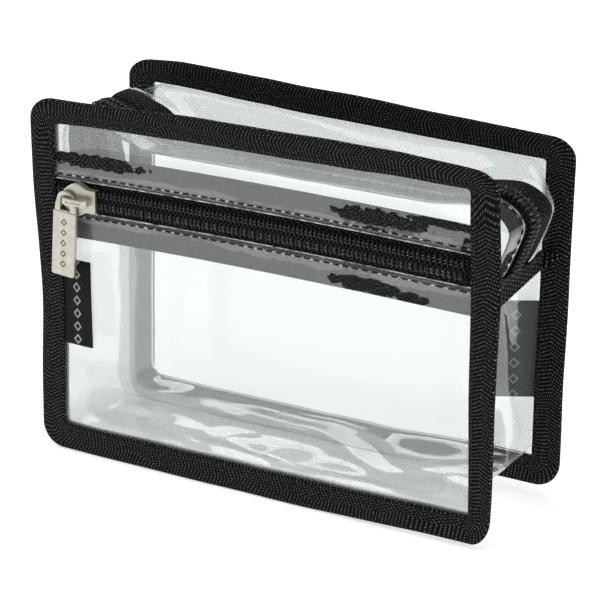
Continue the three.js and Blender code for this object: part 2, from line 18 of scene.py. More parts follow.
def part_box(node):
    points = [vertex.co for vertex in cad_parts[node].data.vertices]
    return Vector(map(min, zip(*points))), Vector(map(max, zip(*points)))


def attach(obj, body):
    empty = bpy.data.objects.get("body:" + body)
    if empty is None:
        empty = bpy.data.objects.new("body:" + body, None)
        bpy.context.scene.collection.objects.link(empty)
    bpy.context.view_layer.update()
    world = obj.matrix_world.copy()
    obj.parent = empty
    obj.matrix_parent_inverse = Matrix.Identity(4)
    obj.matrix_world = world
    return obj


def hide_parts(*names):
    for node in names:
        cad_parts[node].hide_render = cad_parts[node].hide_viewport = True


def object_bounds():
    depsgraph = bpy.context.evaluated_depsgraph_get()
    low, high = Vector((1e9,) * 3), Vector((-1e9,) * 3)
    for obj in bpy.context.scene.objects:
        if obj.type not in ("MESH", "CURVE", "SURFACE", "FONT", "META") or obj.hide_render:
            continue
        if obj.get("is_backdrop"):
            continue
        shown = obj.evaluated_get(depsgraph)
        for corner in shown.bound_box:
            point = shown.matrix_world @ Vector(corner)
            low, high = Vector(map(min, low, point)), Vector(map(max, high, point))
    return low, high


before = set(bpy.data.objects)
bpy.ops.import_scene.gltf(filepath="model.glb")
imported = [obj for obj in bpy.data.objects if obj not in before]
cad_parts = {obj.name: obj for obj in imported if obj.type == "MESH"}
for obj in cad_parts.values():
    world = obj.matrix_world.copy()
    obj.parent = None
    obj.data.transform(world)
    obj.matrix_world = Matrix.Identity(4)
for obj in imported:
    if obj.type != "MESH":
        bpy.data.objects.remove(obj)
CAD_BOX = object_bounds()

LOG = logging.getLogger("makeup_bag")
MM = 0.001
CAD_FRONT_FACE = -31.75  # depth of the front binding's face in the bag's own frame
SHIFT_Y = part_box("front_binding")[0].y / MM - CAD_FRONT_FACE

Points = np.ndarray
Faces = list[tuple[int, ...]]


# --------------------------------------------------------------------------- small tools


def linear(hex_colour: str) -> tuple[float, float, float, float]:
    """Turn an sRGB hex colour to linear light.

    Args:
        hex_colour: six hex digits, with or without a leading #.

    Returns:
        Red, green, blue and an alpha of one.
    """
    text = hex_colour.lstrip("#")
    parts = [int(text[i : i + 2], 16) / 255 for i in (0, 2, 4)]
    r, g, b = (c / 12.92 if c <= 0.04045 else ((c + 0.055) / 1.055) ** 2.4 for c in parts)
    return (r, g, b, 1.0)


def add_node(
    tree: bpy.types.NodeTree,
    kind: str,
    inputs: dict | Sequence | None = None,
    give: int | str = 0,
    **settings: object,
) -> bpy.types.NodeSocket | None:
    """Add a node, set its properties, and set or link its inputs.

    Args:
        tree: the node tree that gets the node.
        kind: the node's type, without the leading ShaderNode.
        inputs: values or other nodes' outputs, in order, or by input name or number.
        give: the name or number of the output to return.
        **settings: properties of the node itself.

    Returns:
        The output asked for, or nothing from a node without outputs.
    """
    made = tree.nodes.new("ShaderNode" + kind)
    for key, value in settings.items():
        setattr(made, key, value)
    pairs = inputs.items() if isinstance(inputs, dict) else enumerate(inputs or ())
    for key, value in pairs:
        if isinstance(value, bpy.types.NodeSocket):
            tree.links.new(value, made.inputs[key])
        else:
            made.inputs[key].default_value = value
    return made.outputs[give] if made.outputs else None


def ramp(
    value: float | np.ndarray, zero: float | np.ndarray, one: float | np.ndarray
) -> float | np.ndarray:
    """Ease from 0 to 1 with flat ends, as a value goes from one number to another."""
    share = np.clip((value - zero) / (one - zero), 0, 1)
    return share * share * (3 - 2 * share)


def ripple(x: float, y: float, z: float, scale: float, seed: float) -> float:
    """Smooth noise from about -1 to 1, with features of about scale millimetres."""
    return noise.noise(Vector((x / scale + seed, y / scale - seed, z / scale + 2 * seed)))


def ripples(points: Points, scale: float, seed: float) -> np.ndarray:
    """The smooth noise at each of the points in an array of any shape, three numbers each."""
    flat = points.reshape(-1, 3)
    return np.array([ripple(*p, scale, seed) for p in flat]).reshape(points.shape[:-1])


def in_row(points: Points) -> Points:
    """Points in millimetres in the bag's own frame, as metres in the row frame."""
    return (points + np.array([0.0, SHIFT_Y, 0.0])) * MM


def make_piece(
    name: str,
    points: Points,
    faces: Faces,
    finishes: Sequence["Finish"],
    kinds: Sequence[int] | None = None,
    uv: np.ndarray | None = None,
    smooth: bool = True,
) -> bpy.types.Object:
    """Make one object from points in the bag's frame.

    Args:
        name: the piece's name.
        points: n by 3, in millimetres.
        faces: vertex numbers of each face.
        finishes: the finishes of the material slots, in order.
        kinds: each face's slot number, where there is more than one.
        uv: n by 2 pattern coordinates in millimetres, where the pattern follows the piece.
        smooth: whether the faces are shaded smooth.

    Returns:
        The linked object.
    """
    mesh = bpy.data.meshes.new(name)
    mesh.from_pydata(in_row(np.asarray(points, float)).tolist(), [], faces)
    for finish in finishes:
        mesh.materials.append(finish.material())
    if kinds is not None:
        mesh.polygons.foreach_set("material_index", np.asarray(kinds, np.int32))
    if uv is not None:
        layer = mesh.uv_layers.new(name="Pattern")
        corners = np.zeros(len(mesh.loops), np.int32)
        mesh.loops.foreach_get("vertex_index", corners)
        layer.data.foreach_set("uv", np.asarray(uv, np.float32)[corners].ravel())
    mesh.polygons.foreach_set("use_smooth", np.full(len(mesh.polygons), smooth))
    mesh.update()
    piece = bpy.data.objects.new(name, mesh)
    bpy.context.scene.collection.objects.link(piece)
    return piece


def fit_to_body(piece: bpy.types.Object, body: str, slot: str, *nodes: str) -> None:
    """Let a piece ride on a body, and stand for its CAD nodes.

    Args:
        piece: the piece.
        body: the body that it moves with.
        slot: not used.
        *nodes: the CAD nodes that it replaces, if any.
    """
    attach(piece, body)
    if nodes:
        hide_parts(*nodes)
    LOG.info("made %s on %s", piece.name, body)


def grid_faces(rows: int, columns: int, start: int = 0, flip: bool = False) -> Faces:
    """Quads of a grid of vertices that are numbered row by row.

    Args:
        rows: the number of rows of vertices.
        columns: the number of vertices in a row.
        start: the number of the first vertex.
        flip: whether the faces turn the other way.

    Returns:
        The faces.
    """
    faces = []
    for i in range(rows - 1):
        for j in range(columns - 1):
            a = start + i * columns + j
            quad = (a, a + 1, a + columns + 1, a + columns)
            faces.append(quad[::-1] if flip else quad)
    return faces


def grid_normals(grid: Points) -> Points:
    """Unit normals of a grid of points.

    Args:
        grid: rows by columns by 3.

    Returns:
        An array of the same shape.
    """
    along = np.gradient(grid, axis=0)
    across = np.gradient(grid, axis=1)
    normals = np.cross(along, across)
    return normals / np.maximum(np.linalg.norm(normals, axis=2, keepdims=True), 1e-9)


def sheet_mesh(grid: Points, thick: float) -> tuple[Points, Faces, list[int]]:
    """A closed sheet of even thickness round a grid of points.

    Args:
        grid: rows by columns by 3, the sheet's middle.
        thick: the sheet's thickness.

    Returns:
        Points, faces, and 0 for each broad face and 1 for each face of the cut edge.
    """
    rows, columns = grid.shape[:2]
    offset = grid_normals(grid) * thick / 2
    points = np.concatenate([(grid + offset).reshape(-1, 3), (grid - offset).reshape(-1, 3)])
    count = rows * columns
    faces = grid_faces(rows, columns) + grid_faces(rows, columns, count, flip=True)
    kinds = [0] * len(faces)
    rim = [i for i in range(columns)]
    rim += [i * columns + columns - 1 for i in range(1, rows)]
    rim += [(rows - 1) * columns + j for j in range(columns - 2, -1, -1)]
    rim += [i * columns for i in range(rows - 2, 0, -1)]
    for a, b in zip(rim, rim[1:] + rim[:1]):
        faces.append((b, a, a + count, b + count))
        kinds.append(1)
    return points, faces, kinds


def tube(line: Points, radius: float | np.ndarray, sides: int, start: int) -> tuple[Points, Faces]:
    """A closed tube along a line of points.

    Args:
        line: n by 3.
        radius: one radius, or one for each point.
        sides: how many sides the tube has.
        start: the number of its first vertex.

    Returns:
        The tube's points and faces, with both ends closed.
    """
    tangent = np.gradient(line, axis=0)
    tangent /= np.maximum(np.linalg.norm(tangent, axis=1, keepdims=True), 1e-9)
    steady = np.eye(3)[np.argmin(np.abs(tangent).mean(axis=0))]
    first = np.cross(tangent, steady)
    first /= np.maximum(np.linalg.norm(first, axis=1, keepdims=True), 1e-9)
    second = np.cross(tangent, first)
    turn = np.arange(sides) * 2 * math.pi / sides
    size = np.broadcast_to(radius, len(line))[:, None, None]
    cosine, sine = np.cos(turn)[None, :, None], np.sin(turn)[None, :, None]
    ring = first[:, None] * cosine + second[:, None] * sine
    points = (line[:, None] + ring * size).reshape(-1, 3)
    faces: Faces = []
    for i in range(len(line) - 1):
        for j in range(sides):
            a = start + i * sides + j
            b = start + i * sides + (j + 1) % sides
            faces.append((a, b, b + sides, a + sides))
    faces.append(tuple(start + j for j in range(sides))[::-1])
    faces.append(tuple(start + (len(line) - 1) * sides + j for j in range(sides)))
    return points, faces


def tubes(
    lines: Sequence[Points], radius: float | Sequence[np.ndarray], sides: int
) -> tuple[Points, Faces]:
    """Several tubes in one set of points and faces.

    Args:
        lines: each tube's line of points.
        radius: one radius for all, or for each tube the radii along its line.
        sides: how many sides each tube has.

    Returns:
        Points and faces.
    """
    all_points, all_faces, start = [], [], 0
    for k, line in enumerate(lines):
        points, faces = tube(line, radius if np.isscalar(radius) else radius[k], sides, start)
        all_points.append(points)
        all_faces += faces
        start += len(points)
    return np.concatenate(all_points), all_faces


def stitch(half: float) -> np.ndarray:
    """Five places along one stitch, from end to end, about its middle."""
    return half * np.array([-1, -0.6, 0, 0.6, 1])


def pattern(across: np.ndarray, along: np.ndarray) -> np.ndarray:
    """Pattern coordinates for both broad faces of a sheet, from grids over its middle."""
    one_face = np.stack([across.ravel(), along.ravel()], axis=1)
    return np.vstack([one_face, one_face])


# ------------------------------------------------------------------------------- finishes


# Where the pocket's film clings to its zip tape: along and up from the zip's middle, then
# half length and half height.
CLINGING_DARTS = (
    (54.0, 12.3, 21.0, 4.2),
    (80.0, 15.6, 16.0, 1.7),
    (88.0, 9.0, 4.0, 3.5),
    (49.0, -13.8, 17.0, 3.0),
    (68.0, -15.0, 7.0, 2.4),
    (-71.0, 14.6, 25.0, 3.0),
)
BUBBLE_ROW = 9.3  # how far from the zip's middle the bubbles lie, just past its seam


class Finish:
    """A surface finish: its material is made once and shared by every piece that has it."""

    name = "finish"

    def material(self) -> bpy.types.Material:
        """The finish's material, made on first use.

        Returns:
            The material, with the finish's shader linked to its output.
        """
        found = bpy.data.materials.get(self.name)
        if found:
            return found
        made = bpy.data.materials.new(self.name)
        made.use_nodes = True
        made.node_tree.nodes.clear()
        shader = self.shader(made.node_tree)
        add_node(made.node_tree, "OutputMaterial", {"Surface": shader})
        return made

    def shader(self, tree: bpy.types.NodeTree) -> bpy.types.NodeSocket:
        """Build the finish's surface shader in the tree and return its output."""
        raise NotImplementedError


def grain(size: float) -> float:
    """The scale of a noise texture laid in metres, for grains of a size in millimetres."""
    return 1 / (size * MM)


def bands(size: float, unit: float) -> float:
    """The scale of a wave texture for bands of a size in millimetres, laid in a unit of metres."""
    return 2 * math.pi / 20 / (size * MM / unit)


@dataclass(frozen=True)
class ClearVinyl(Finish):
    """Flexible PVC film, calendered between polished rolls and sold with a slight blue cast.

    The eye gets what lies behind it, a veil of reflected white, and soft ripples that bend
    that reflection. Each face is one surface of the film, so the sheet shows two.
    """

    name: str = "clear_pvc_film_calendered"
    tint: str = "FAFBFB"  # light that one face lets through
    straight_on: float = 0.05  # share reflected by one face seen square on, for an IOR of 1.57
    roughness: float = 0.05
    haze: float = 0.02  # share scattered by the plasticiser bloom on each face
    milk: str = "F2F5F5"  # colour of what is scattered
    ripple_mm: float = 16.0
    ripple_depth: float = 0.25
    clings: bool = False  # whether it lies on the zip tape and clings to it in places
    fold_haze: float = 0.0  # extra haze where the gusset was folded flat, and whitened
    bottom_share: float = 0.5  # how much of that haze the gusset's bottom has

    def shader(self, tree: bpy.types.NodeTree) -> bpy.types.NodeSocket:
        """Gloss that grows towards a glancing view, over clear film with a trace of haze.

        Args:
            tree: the material's node tree.

        Returns:
            The surface shader's output.
        """
        place = add_node(tree, "TexCoord", give="Object")
        wave = add_node(
            tree, "TexNoise", {"Vector": place, "Scale": grain(self.ripple_mm), "Detail": 2.0}
        )
        bump = add_node(
            tree, "Bump", {"Height": wave, "Strength": self.ripple_depth, "Distance": 0.5 * MM}
        )
        gloss = add_node(
            tree,
            "BsdfAnisotropic",
            {"Color": (1, 1, 1, 1), "Roughness": self.roughness, "Normal": bump},
        )
        clear = add_node(tree, "BsdfTransparent", {"Color": linear(self.tint)})
        milk = add_node(tree, "BsdfDiffuse", {"Color": linear(self.milk)})
        haze: bpy.types.NodeSocket | float = self.haze
        if self.fold_haze:
            whitened = self.folds(tree)
            haze = add_node(
                tree, "Math", (whitened, self.fold_haze, self.haze), operation="MULTIPLY_ADD"
            )
        facing = add_node(tree, "LayerWeight", {"Blend": 0.5, "Normal": bump}, give="Facing")
        glance = add_node(tree, "Math", (facing, 5.0), operation="POWER")
        square = self.straight_on
        edge = add_node(tree, "Math", (glance, 1 - square, square), operation="MULTIPLY_ADD")
        if self.clings:
            keep, bubbles = self.contact(tree)
            haze = add_node(tree, "Math", (keep, self.haze, bubbles), operation="MULTIPLY_ADD")
            edge = add_node(tree, "Math", (edge, keep), operation="MULTIPLY")
        veiled = add_node(tree, "MixShader", {0: haze, 1: clear, 2: milk})
        return add_node(tree, "MixShader", {0: edge, 1: veiled, 2: gloss})

    def folds(self, tree: bpy.types.NodeTree) -> bpy.types.NodeSocket:
        """Where the lower gusset was whitened by folding: the bottom, and a band up the left.

        The pattern coordinates run along the gusset, from its left end, and from front to back.

        Args:
            tree: the material's node tree.

        Returns:
            A share from 0 to 1.
        """
        uv = add_node(tree, "UVMap", uv_map="Pattern")
        split = add_node(tree, "SeparateXYZ", {0: uv}).node.outputs
        cloud = add_node(tree, "TexNoise", {"Vector": uv, "Scale": 1 / 20, "Detail": 2.0})
        depth = add_node(tree, "Math", (cloud, 8.0, split[1]), operation="MULTIPLY_ADD")
        fades = (
            (depth, 23.5, 20.5),
            (depth, 9.0, 12.0),
            (split[0], 66.0, 82.0),
            (split[0], 262.0, 246.0),
        )
        before_seam, towards_back, past_corner, before_end = (
            add_node(
                tree,
                "MapRange",
                {"Value": value, "From Min": zero, "From Max": one},
                interpolation_type="SMOOTHSTEP",
            )
            for value, zero, one in fades
        )
        bottom = add_node(tree, "Math", (past_corner, self.bottom_share), operation="MULTIPLY")
        either = add_node(tree, "Math", (bottom, towards_back), operation="MAXIMUM")
        along = add_node(tree, "Math", (before_seam, either), operation="MULTIPLY")
        return add_node(tree, "Math", (along, before_end), operation="MULTIPLY")

    @staticmethod
    def contact(
        tree: bpy.types.NodeTree,
    ) -> tuple[bpy.types.NodeSocket, bpy.types.NodeSocket]:
        """Where the film clings to the tape, and where air lies in bubbles beside the seam.

        The pattern coordinates run along the zip and up from its middle.

        Args:
            tree: the material's node tree.

        Returns:
            What is left of the faces' reflection, near 0 where they cling, and the extra haze
            of the bubbles.
        """
        uv = add_node(tree, "UVMap", uv_map="Pattern")
        split = add_node(tree, "SeparateXYZ", {0: uv}).node.outputs
        cloud = add_node(
            tree, "TexNoise", {"Vector": uv, "Scale": 1 / 3.3, "Detail": 2.0, "Distortion": 0.5}
        )
        keep: bpy.types.NodeSocket | float = 1.0
        for x, z, length, height in CLINGING_DARTS:
            along = add_node(
                tree, "Math", (split[0], 1 / length, -x / length), operation="MULTIPLY_ADD"
            )
            up = add_node(
                tree, "Math", (split[1], 1 / height, -z / height), operation="MULTIPLY_ADD"
            )
            up_square = add_node(tree, "Math", (up, up), operation="MULTIPLY")
            reach = add_node(tree, "Math", (along, along, up_square), operation="MULTIPLY_ADD")
            ragged = add_node(tree, "Math", (cloud, 2.0, reach), operation="MULTIPLY_ADD")
            free = add_node(tree, "Math", (ragged, 1.9), operation="GREATER_THAN")
            keep = add_node(tree, "Math", (keep, free), operation="MULTIPLY")
        keep = add_node(tree, "Math", (keep, 0.95, 0.05), operation="MULTIPLY_ADD")
        height = add_node(tree, "Math", (split[1],), operation="ABSOLUTE")
        past_seam = add_node(tree, "Math", (height, BUBBLE_ROW), operation="SUBTRACT")
        off_seam = add_node(tree, "Math", (past_seam,), operation="ABSOLUTE")
        cells = add_node(tree, "TexVoronoi", {"Vector": uv, "Scale": 1 / 2.4})
        swell = add_node(tree, "Math", (cells, 1.1, off_seam), operation="MULTIPLY_ADD")
        drift = add_node(tree, "TexNoise", {"Vector": uv, "Scale": 1 / 22})
        width = add_node(tree, "Math", (drift, 7.5, -2.3), operation="MULTIPLY_ADD")
        inside = add_node(tree, "Math", (swell, width), operation="LESS_THAN")
        return keep, add_node(tree, "Math", (inside, 0.08), operation="MULTIPLY")


@dataclass(frozen=True)
class VinylEdgeHighlight(Finish):
    """The film's knife-cut edge, painted white as a highlight where the edge catches light."""

    name: str = "clear_pvc_film_edge_painted_highlight"
    # shade is painted shade and colour a painted white highlight, mixed in random patches
    shade: str = "4C5655"
    colour: str = "F4F8F7"

    def shader(self, tree: bpy.types.NodeTree) -> bpy.types.NodeSocket:
        """Painted white highlight, broken into patches of painted shade, and a little glossy.

        Args:
            tree: the material's node tree.

        Returns:
            The surface shader's output.
        """
        place = add_node(tree, "TexCoord", give="Object")
        # noise breaks the painted highlight into random patches of painted shade
        nick = add_node(tree, "TexNoise", {"Vector": place, "Scale": grain(2.4), "Detail": 4.0})
        worn = add_node(tree, "Math", (nick, 3.0, -1.0), operation="MULTIPLY_ADD")
        tones = {"Factor": worn, 6: linear(self.shade), 7: linear(self.colour)}
        colour = add_node(tree, "Mix", tones, give=2, data_type="RGBA")
        return add_node(
            tree, "BsdfPrincipled", {"Base Color": colour, "Roughness": 0.22, "IOR": 1.57}
        )


@dataclass(frozen=True)
class WovenTape(Finish):
    """Narrow polyester tape, woven on a needle loom and piece-dyed black.

    Thick weft ribs cross the tape, bound by warp threads, all dyed black. A painted highlight
    in the light colour lies on each rib's crown as a row of small bright dashes, where the warp
    binds it. The pattern coordinates run along and across the tape.
    """

    name: str = "grosgrain_polyester_woven"
    dark: str = "060607"
    # the light colour is a painted highlight on the rib crowns; the tape itself is black
    light: str = "DADBDE"
    rib_mm: float = 1.5  # real ribs are about half as wide: drawn as coarse as they need to show
    warp_mm: float = 0.95  # as coarse as it needs to show, too
    slant: float = 0.42
    depth_mm: float = 0.22
    roughness: float = 0.8

    def shader(self, tree: bpy.types.NodeTree) -> bpy.types.NodeSocket:
        """Ribs and warp dashes in relief, painted highlight on their crowns, soft fibre sheen.

        The ribs lean one way and then the other across the tape, and sway as a sewn tape does.

        Args:
            tree: the material's node tree.

        Returns:
            The surface shader's output.
        """
        uv = add_node(tree, "UVMap", uv_map="Pattern")
        split = add_node(tree, "SeparateXYZ", {0: uv}).node.outputs
        sway = add_node(tree, "TexNoise", {"Vector": uv, "Scale": 1 / 17, "Detail": 1.0})
        swayed = add_node(tree, "Math", (sway, 9.0, split[1]), operation="MULTIPLY_ADD")
        bend = add_node(tree, "Math", (swayed, 5.5), operation="PINGPONG")
        lean = add_node(tree, "Math", (bend, self.slant, split[0]), operation="MULTIPLY_ADD")
        turns = add_node(tree, "Math", (lean, self.rib_mm), operation="DIVIDE")
        phase = add_node(tree, "Math", (turns, 2 * math.pi), operation="MULTIPLY")
        rib = add_node(tree, "Math", (phase,), operation="SINE")
        number = add_node(tree, "Math", (turns,), operation="FLOOR")
        stagger = add_node(tree, "Math", (number, math.pi), operation="MULTIPLY")
        stray = add_node(tree, "TexNoise", {"Vector": uv, "Scale": 1 / 2, "Detail": 2.0})
        straying = add_node(tree, "Math", (stray, 7.0, stagger), operation="MULTIPLY_ADD")
        warps = 2 * math.pi / self.warp_mm
        warp = add_node(tree, "Math", (split[1], warps, straying), operation="MULTIPLY_ADD")
        dash = add_node(tree, "Math", (warp,), operation="SINE")
        raised = add_node(tree, "Math", (rib, 0.5, 0.5), operation="MULTIPLY_ADD")
        bound = add_node(tree, "Math", (dash, 0.38, 0.62), operation="MULTIPLY_ADD")
        both = add_node(tree, "Math", (raised, bound), operation="MULTIPLY")
        fibre = add_node(tree, "TexNoise", {"Vector": uv, "Scale": 1 / 1.1, "Detail": 5.0})
        ragged = add_node(tree, "Math", (fibre, 2.1), operation="POWER")
        # painted highlight: brightest on the crowns of ribs and warp dashes, broken up by fibres
        crown = add_node(tree, "Math", (both, 3.4), operation="POWER")
        rib_highlight = add_node(tree, "Math", (crown, ragged), operation="MULTIPLY")
        tones = {"Factor": rib_highlight, 6: linear(self.dark), 7: linear(self.light)}
        colour = add_node(tree, "Mix", tones, give=2, data_type="RGBA")
        bump = add_node(
            tree, "Bump", {"Height": both, "Strength": 0.8, "Distance": self.depth_mm * MM}
        )
        return add_node(
            tree,
            "BsdfPrincipled",
            {
                "Base Color": colour,
                "Roughness": self.roughness,
                "IOR": 1.5,
                "Specular IOR Level": 0.1,
                "Sheen Weight": 0.006,
                "Sheen Roughness": 0.5,
                "Normal": bump,
            },
        )


@dataclass(frozen=True)
class NylonCoil(Finish):
    """Nylon monofilament, extruded, dyed black and heat-set round a cord into a coil.

    Smooth enough to carry a thin bright streak along each turn.
    """

    name: str = "nylon_monofilament_extruded"
    colour: str = "060607"
    rubbed: str = "141416"

    def shader(self, tree: bpy.types.NodeTree) -> bpy.types.NodeSocket:
        """Dark glossy plastic with slightly uneven gloss.

        Args:
            tree: the material's node tree.

        Returns:
            The surface shader's output.
        """
        place = add_node(tree, "TexCoord", give="Object")
        rub = add_node(tree, "TexNoise", {"Vector": place, "Scale": grain(3.8), "Detail": 3.0})
        rough = add_node(tree, "MapRange", {"Value": rub, "To Min": 0.3, "To Max": 0.5})
        tones = {"Factor": rub, 6: linear(self.colour), 7: linear(self.rubbed)}
        colour = add_node(tree, "Mix", tones, give=2, data_type="RGBA")
        return add_node(
            tree,
            "BsdfPrincipled",
            {"Base Color": colour, "Roughness": rough, "IOR": 1.53, "Specular IOR Level": 0.26},
        )


@dataclass(frozen=True)
class SewingThread(Finish):
    """Black corespun polyester thread of three plies; fine slanted lines are painted highlights."""

    name: str = "polyester_thread_corespun"
    colour: str = "0A0A0B"
    # the light colour is a painted highlight on the ply crowns; the thread is black
    light: str = "2C2C2F"
    shine: float = 0.3

    def shader(self, tree: bpy.types.NodeTree) -> bpy.types.NodeSocket:
        """Dull black with painted highlight lines on the plies, about half a millimetre apart.

        Args:
            tree: the material's node tree.

        Returns:
            The surface shader's output.
        """
        place = add_node(tree, "TexCoord", give="Object")
        ply = add_node(
            tree,
            "TexWave",
            {"Vector": place, "Scale": bands(0.6, 1), "Distortion": 1.0},
            give="Fac",
            bands_direction="DIAGONAL",
        )
        bump = add_node(tree, "Bump", {"Height": ply, "Strength": 0.6, "Distance": 0.08 * MM})
        lit = add_node(tree, "Math", (ply, 2.5), operation="POWER")
        tones = {"Factor": lit, 6: linear(self.colour), 7: linear(self.light)}
        colour = add_node(tree, "Mix", tones, give=2, data_type="RGBA")
        return add_node(
            tree,
            "BsdfPrincipled",
            {
                "Base Color": colour,
                "Roughness": 0.6,
                "IOR": 1.5,
                "Specular IOR Level": self.shine,
                "Normal": bump,
            },
        )


@dataclass(frozen=True)
class SatinNickel(Finish):
    """Zinc alloy, die-cast, tumbled and plated with a warm satin nickel.

    The tumbling leaves a fine pebble that blurs reflections, and the plate is mottled a
    little browner in random patches.
    """

    name: str = "zinc_die_cast_satin_nickel"
    bright: str = "DAD7CD"
    dull: str = "AFA99A"

    def shader(self, tree: bpy.types.NodeTree) -> bpy.types.NodeSocket:
        """Metal with mottled colour, mottled gloss and a fine cast pebble.

        Args:
            tree: the material's node tree.

        Returns:
            The surface shader's output.
        """
        place = add_node(tree, "TexCoord", give="Object")
        cloud = add_node(tree, "TexNoise", {"Vector": place, "Scale": grain(3), "Detail": 5.0})
        pebble = add_node(tree, "TexNoise", {"Vector": place, "Scale": grain(0.4), "Detail": 2.0})
        tones = {"Factor": cloud, 6: linear(self.dull), 7: linear(self.bright)}
        colour = add_node(tree, "Mix", tones, give=2, data_type="RGBA")
        rough = add_node(tree, "MapRange", {"Value": cloud, "To Min": 0.48, "To Max": 0.34})
        bump = add_node(tree, "Bump", {"Height": pebble, "Strength": 0.35, "Distance": 0.06 * MM})
        return add_node(
            tree,
            "BsdfPrincipled",
            {"Base Color": colour, "Metallic": 0.92, "Roughness": rough, "Normal": bump},
        )


@dataclass(frozen=True)
class DarkFill(Finish):
    """Near-black fill in the pull's stamped pattern, darker than the plating, and a little dusty.
    """

    name: str = "stamped_pattern_dark_fill"
    colour: str = "151412"
    dust: str = "4A4740"

    def shader(self, tree: bpy.types.NodeTree) -> bpy.types.NodeSocket:
        """Matt near-black with a worn grey bloom.

        Args:
            tree: the material's node tree.

        Returns:
            The surface shader's output.
        """
        place = add_node(tree, "TexCoord", give="Object")
        worn = add_node(tree, "TexNoise", {"Vector": place, "Scale": grain(0.7), "Detail": 4.0})
        tones = {"Factor": worn, 6: linear(self.colour), 7: linear(self.dust)}
        colour = add_node(tree, "Mix", tones, give=2, data_type="RGBA")
        return add_node(
            tree, "BsdfPrincipled", {"Base Color": colour, "Roughness": 0.55, "IOR": 1.5}
        )


@dataclass(frozen=True)
class WovenLabel(Finish):
    """Damask label, jacquard-woven in black satin with a pale pattern thread.

    The eye gets a dull satin ground and a column of small pale lozenge outlines. The pattern
    coordinates run across and up the label.
    """

    name: str = "damask_label_jacquard_woven"
    middle: float = 7.2  # how far across the label the column stands
    pitch: float = 5.4  # from one lozenge to the next
    outer: float = 2.15  # from a lozenge's middle to its corners, outside
    inner: float = 1.25  # and inside
    ground: str = "0A0A0B"
    pale: str = "B9BBBD"

    def shader(self, tree: bpy.types.NodeTree) -> bpy.types.NodeSocket:
        """Satin ground, with lozenges where the pale thread comes to the face.

        Args:
            tree: the material's node tree.

        Returns:
            The surface shader's output.
        """
        uv = add_node(tree, "UVMap", uv_map="Pattern")
        split = add_node(tree, "SeparateXYZ", {0: uv}).node.outputs
        aside = add_node(tree, "Math", (split[0], self.middle), operation="SUBTRACT")
        across = add_node(tree, "Math", (aside,), operation="ABSOLUTE")
        up = add_node(tree, "Math", (split[1], self.pitch / 2), operation="PINGPONG")
        reach = add_node(tree, "Math", (across, up), operation="ADD")
        within = add_node(tree, "Math", (reach, self.outer), operation="LESS_THAN")
        beyond = add_node(tree, "Math", (reach, self.inner), operation="GREATER_THAN")
        motif = add_node(tree, "Math", (within, beyond), operation="MULTIPLY")
        threads = add_node(
            tree,
            "TexWave",
            {"Vector": uv, "Scale": bands(0.6, MM), "Distortion": 0.6},
            give="Fac",
            bands_direction="Y",
        )
        lit = add_node(tree, "Math", (threads, 0.5, 0.5), operation="MULTIPLY_ADD")
        worn = add_node(tree, "Math", (motif, lit), operation="MULTIPLY")
        tones = {"Factor": worn, 6: linear(self.ground), 7: linear(self.pale)}
        colour = add_node(tree, "Mix", tones, give=2, data_type="RGBA")
        bump = add_node(tree, "Bump", {"Height": threads, "Strength": 0.5, "Distance": 0.06 * MM})
        return add_node(
            tree,
            "BsdfPrincipled",
            {
                "Base Color": colour,
                "Roughness": 0.7,
                "IOR": 1.5,
                "Specular IOR Level": 0.2,
                "Sheen Weight": 0.02,
                "Normal": bump,
            },
        )


@dataclass(frozen=True)
class OpalTable(Finish):
    """Opal acrylic table top, cast and lit from below, so the bag throws almost no shadow."""

    name: str = "opal_acrylic_cast_backlit"
    dim: str = "F4F4F4"
    bright: str = "F7F7F7"
    glow: float = 0.6

    def shader(self, tree: bpy.types.NodeTree) -> bpy.types.NodeSocket:
        """Matt white with an even glow and faint cloudiness.

        Args:
            tree: the material's node tree.

        Returns:
            The surface shader's output.
        """
        place = add_node(tree, "TexCoord", give="Object")
        tooth = add_node(tree, "TexNoise", {"Vector": place, "Scale": grain(330), "Detail": 3.0})
        tones = {"Factor": tooth, 6: linear(self.dim), 7: linear(self.bright)}
        colour = add_node(tree, "Mix", tones, give=2, data_type="RGBA")
        return add_node(
            tree,
            "BsdfPrincipled",
            {
                "Base Color": colour,
                "Roughness": 0.9,
                "Specular IOR Level": 0.1,
                "Emission Color": colour,
                "Emission Strength": self.glow,
            },
        )


VINYL = ClearVinyl()
POCKET_VINYL = ClearVinyl(name="clear_pvc_film_clinging", haze=0.055, clings=True)
CRUMPLED_VINYL = ClearVinyl(
    name="clear_pvc_film_crumpled",
    tint="F5F6F6",
    roughness=0.03,
    ripple_mm=26.0,
    ripple_depth=0.4,
    fold_haze=0.42,
)
SMOKY_VINYL = ClearVinyl(
    name="clear_pvc_film_thick_gauge",
    tint="E9EBEB",
    roughness=0.03,
    ripple_mm=30.0,
    ripple_depth=0.5,
)
EDGE_HIGHLIGHT = VinylEdgeHighlight()
GROSGRAIN = WovenTape()
# ZIP_TAPE's and RIBBON's light colours are painted highlights on their rib crowns too
ZIP_TAPE = WovenTape(
    name="zip_tape_polyester_woven",
    light="A5A6AA",
    rib_mm=1.6,
    warp_mm=1.3,
    slant=0.9,
    depth_mm=0.08,
)
RIBBON = WovenTape(
    name="petersham_ribbon_polyester_woven", light="E4E5E8", rib_mm=2.2, warp_mm=1.7, slant=0.1
)
NYLON = NylonCoil()
THREAD = SewingThread()
# the coil thread's pale light colour is painted glints: the dotted rows of highlights on the coil
COIL_THREAD = SewingThread(name="polyester_thread_spun_painted_glints", light="A0A1A6", shine=0.6)
NICKEL = SatinNickel()
DARK_FILL = DarkFill()
SIDE_LABEL_WEAVE = WovenLabel()
INNER_LABEL_WEAVE = WovenLabel(
    name="damask_label_folded", middle=7.7, pitch=6.4, ground="52585A", pale="A9AEB0"
)
TABLE = OpalTable()


# ---------------------------------------------------------------------------- bag's shape


class Face(Enum):
    """Which face of the bag a piece belongs to."""

    FRONT = -1
    BACK = 1


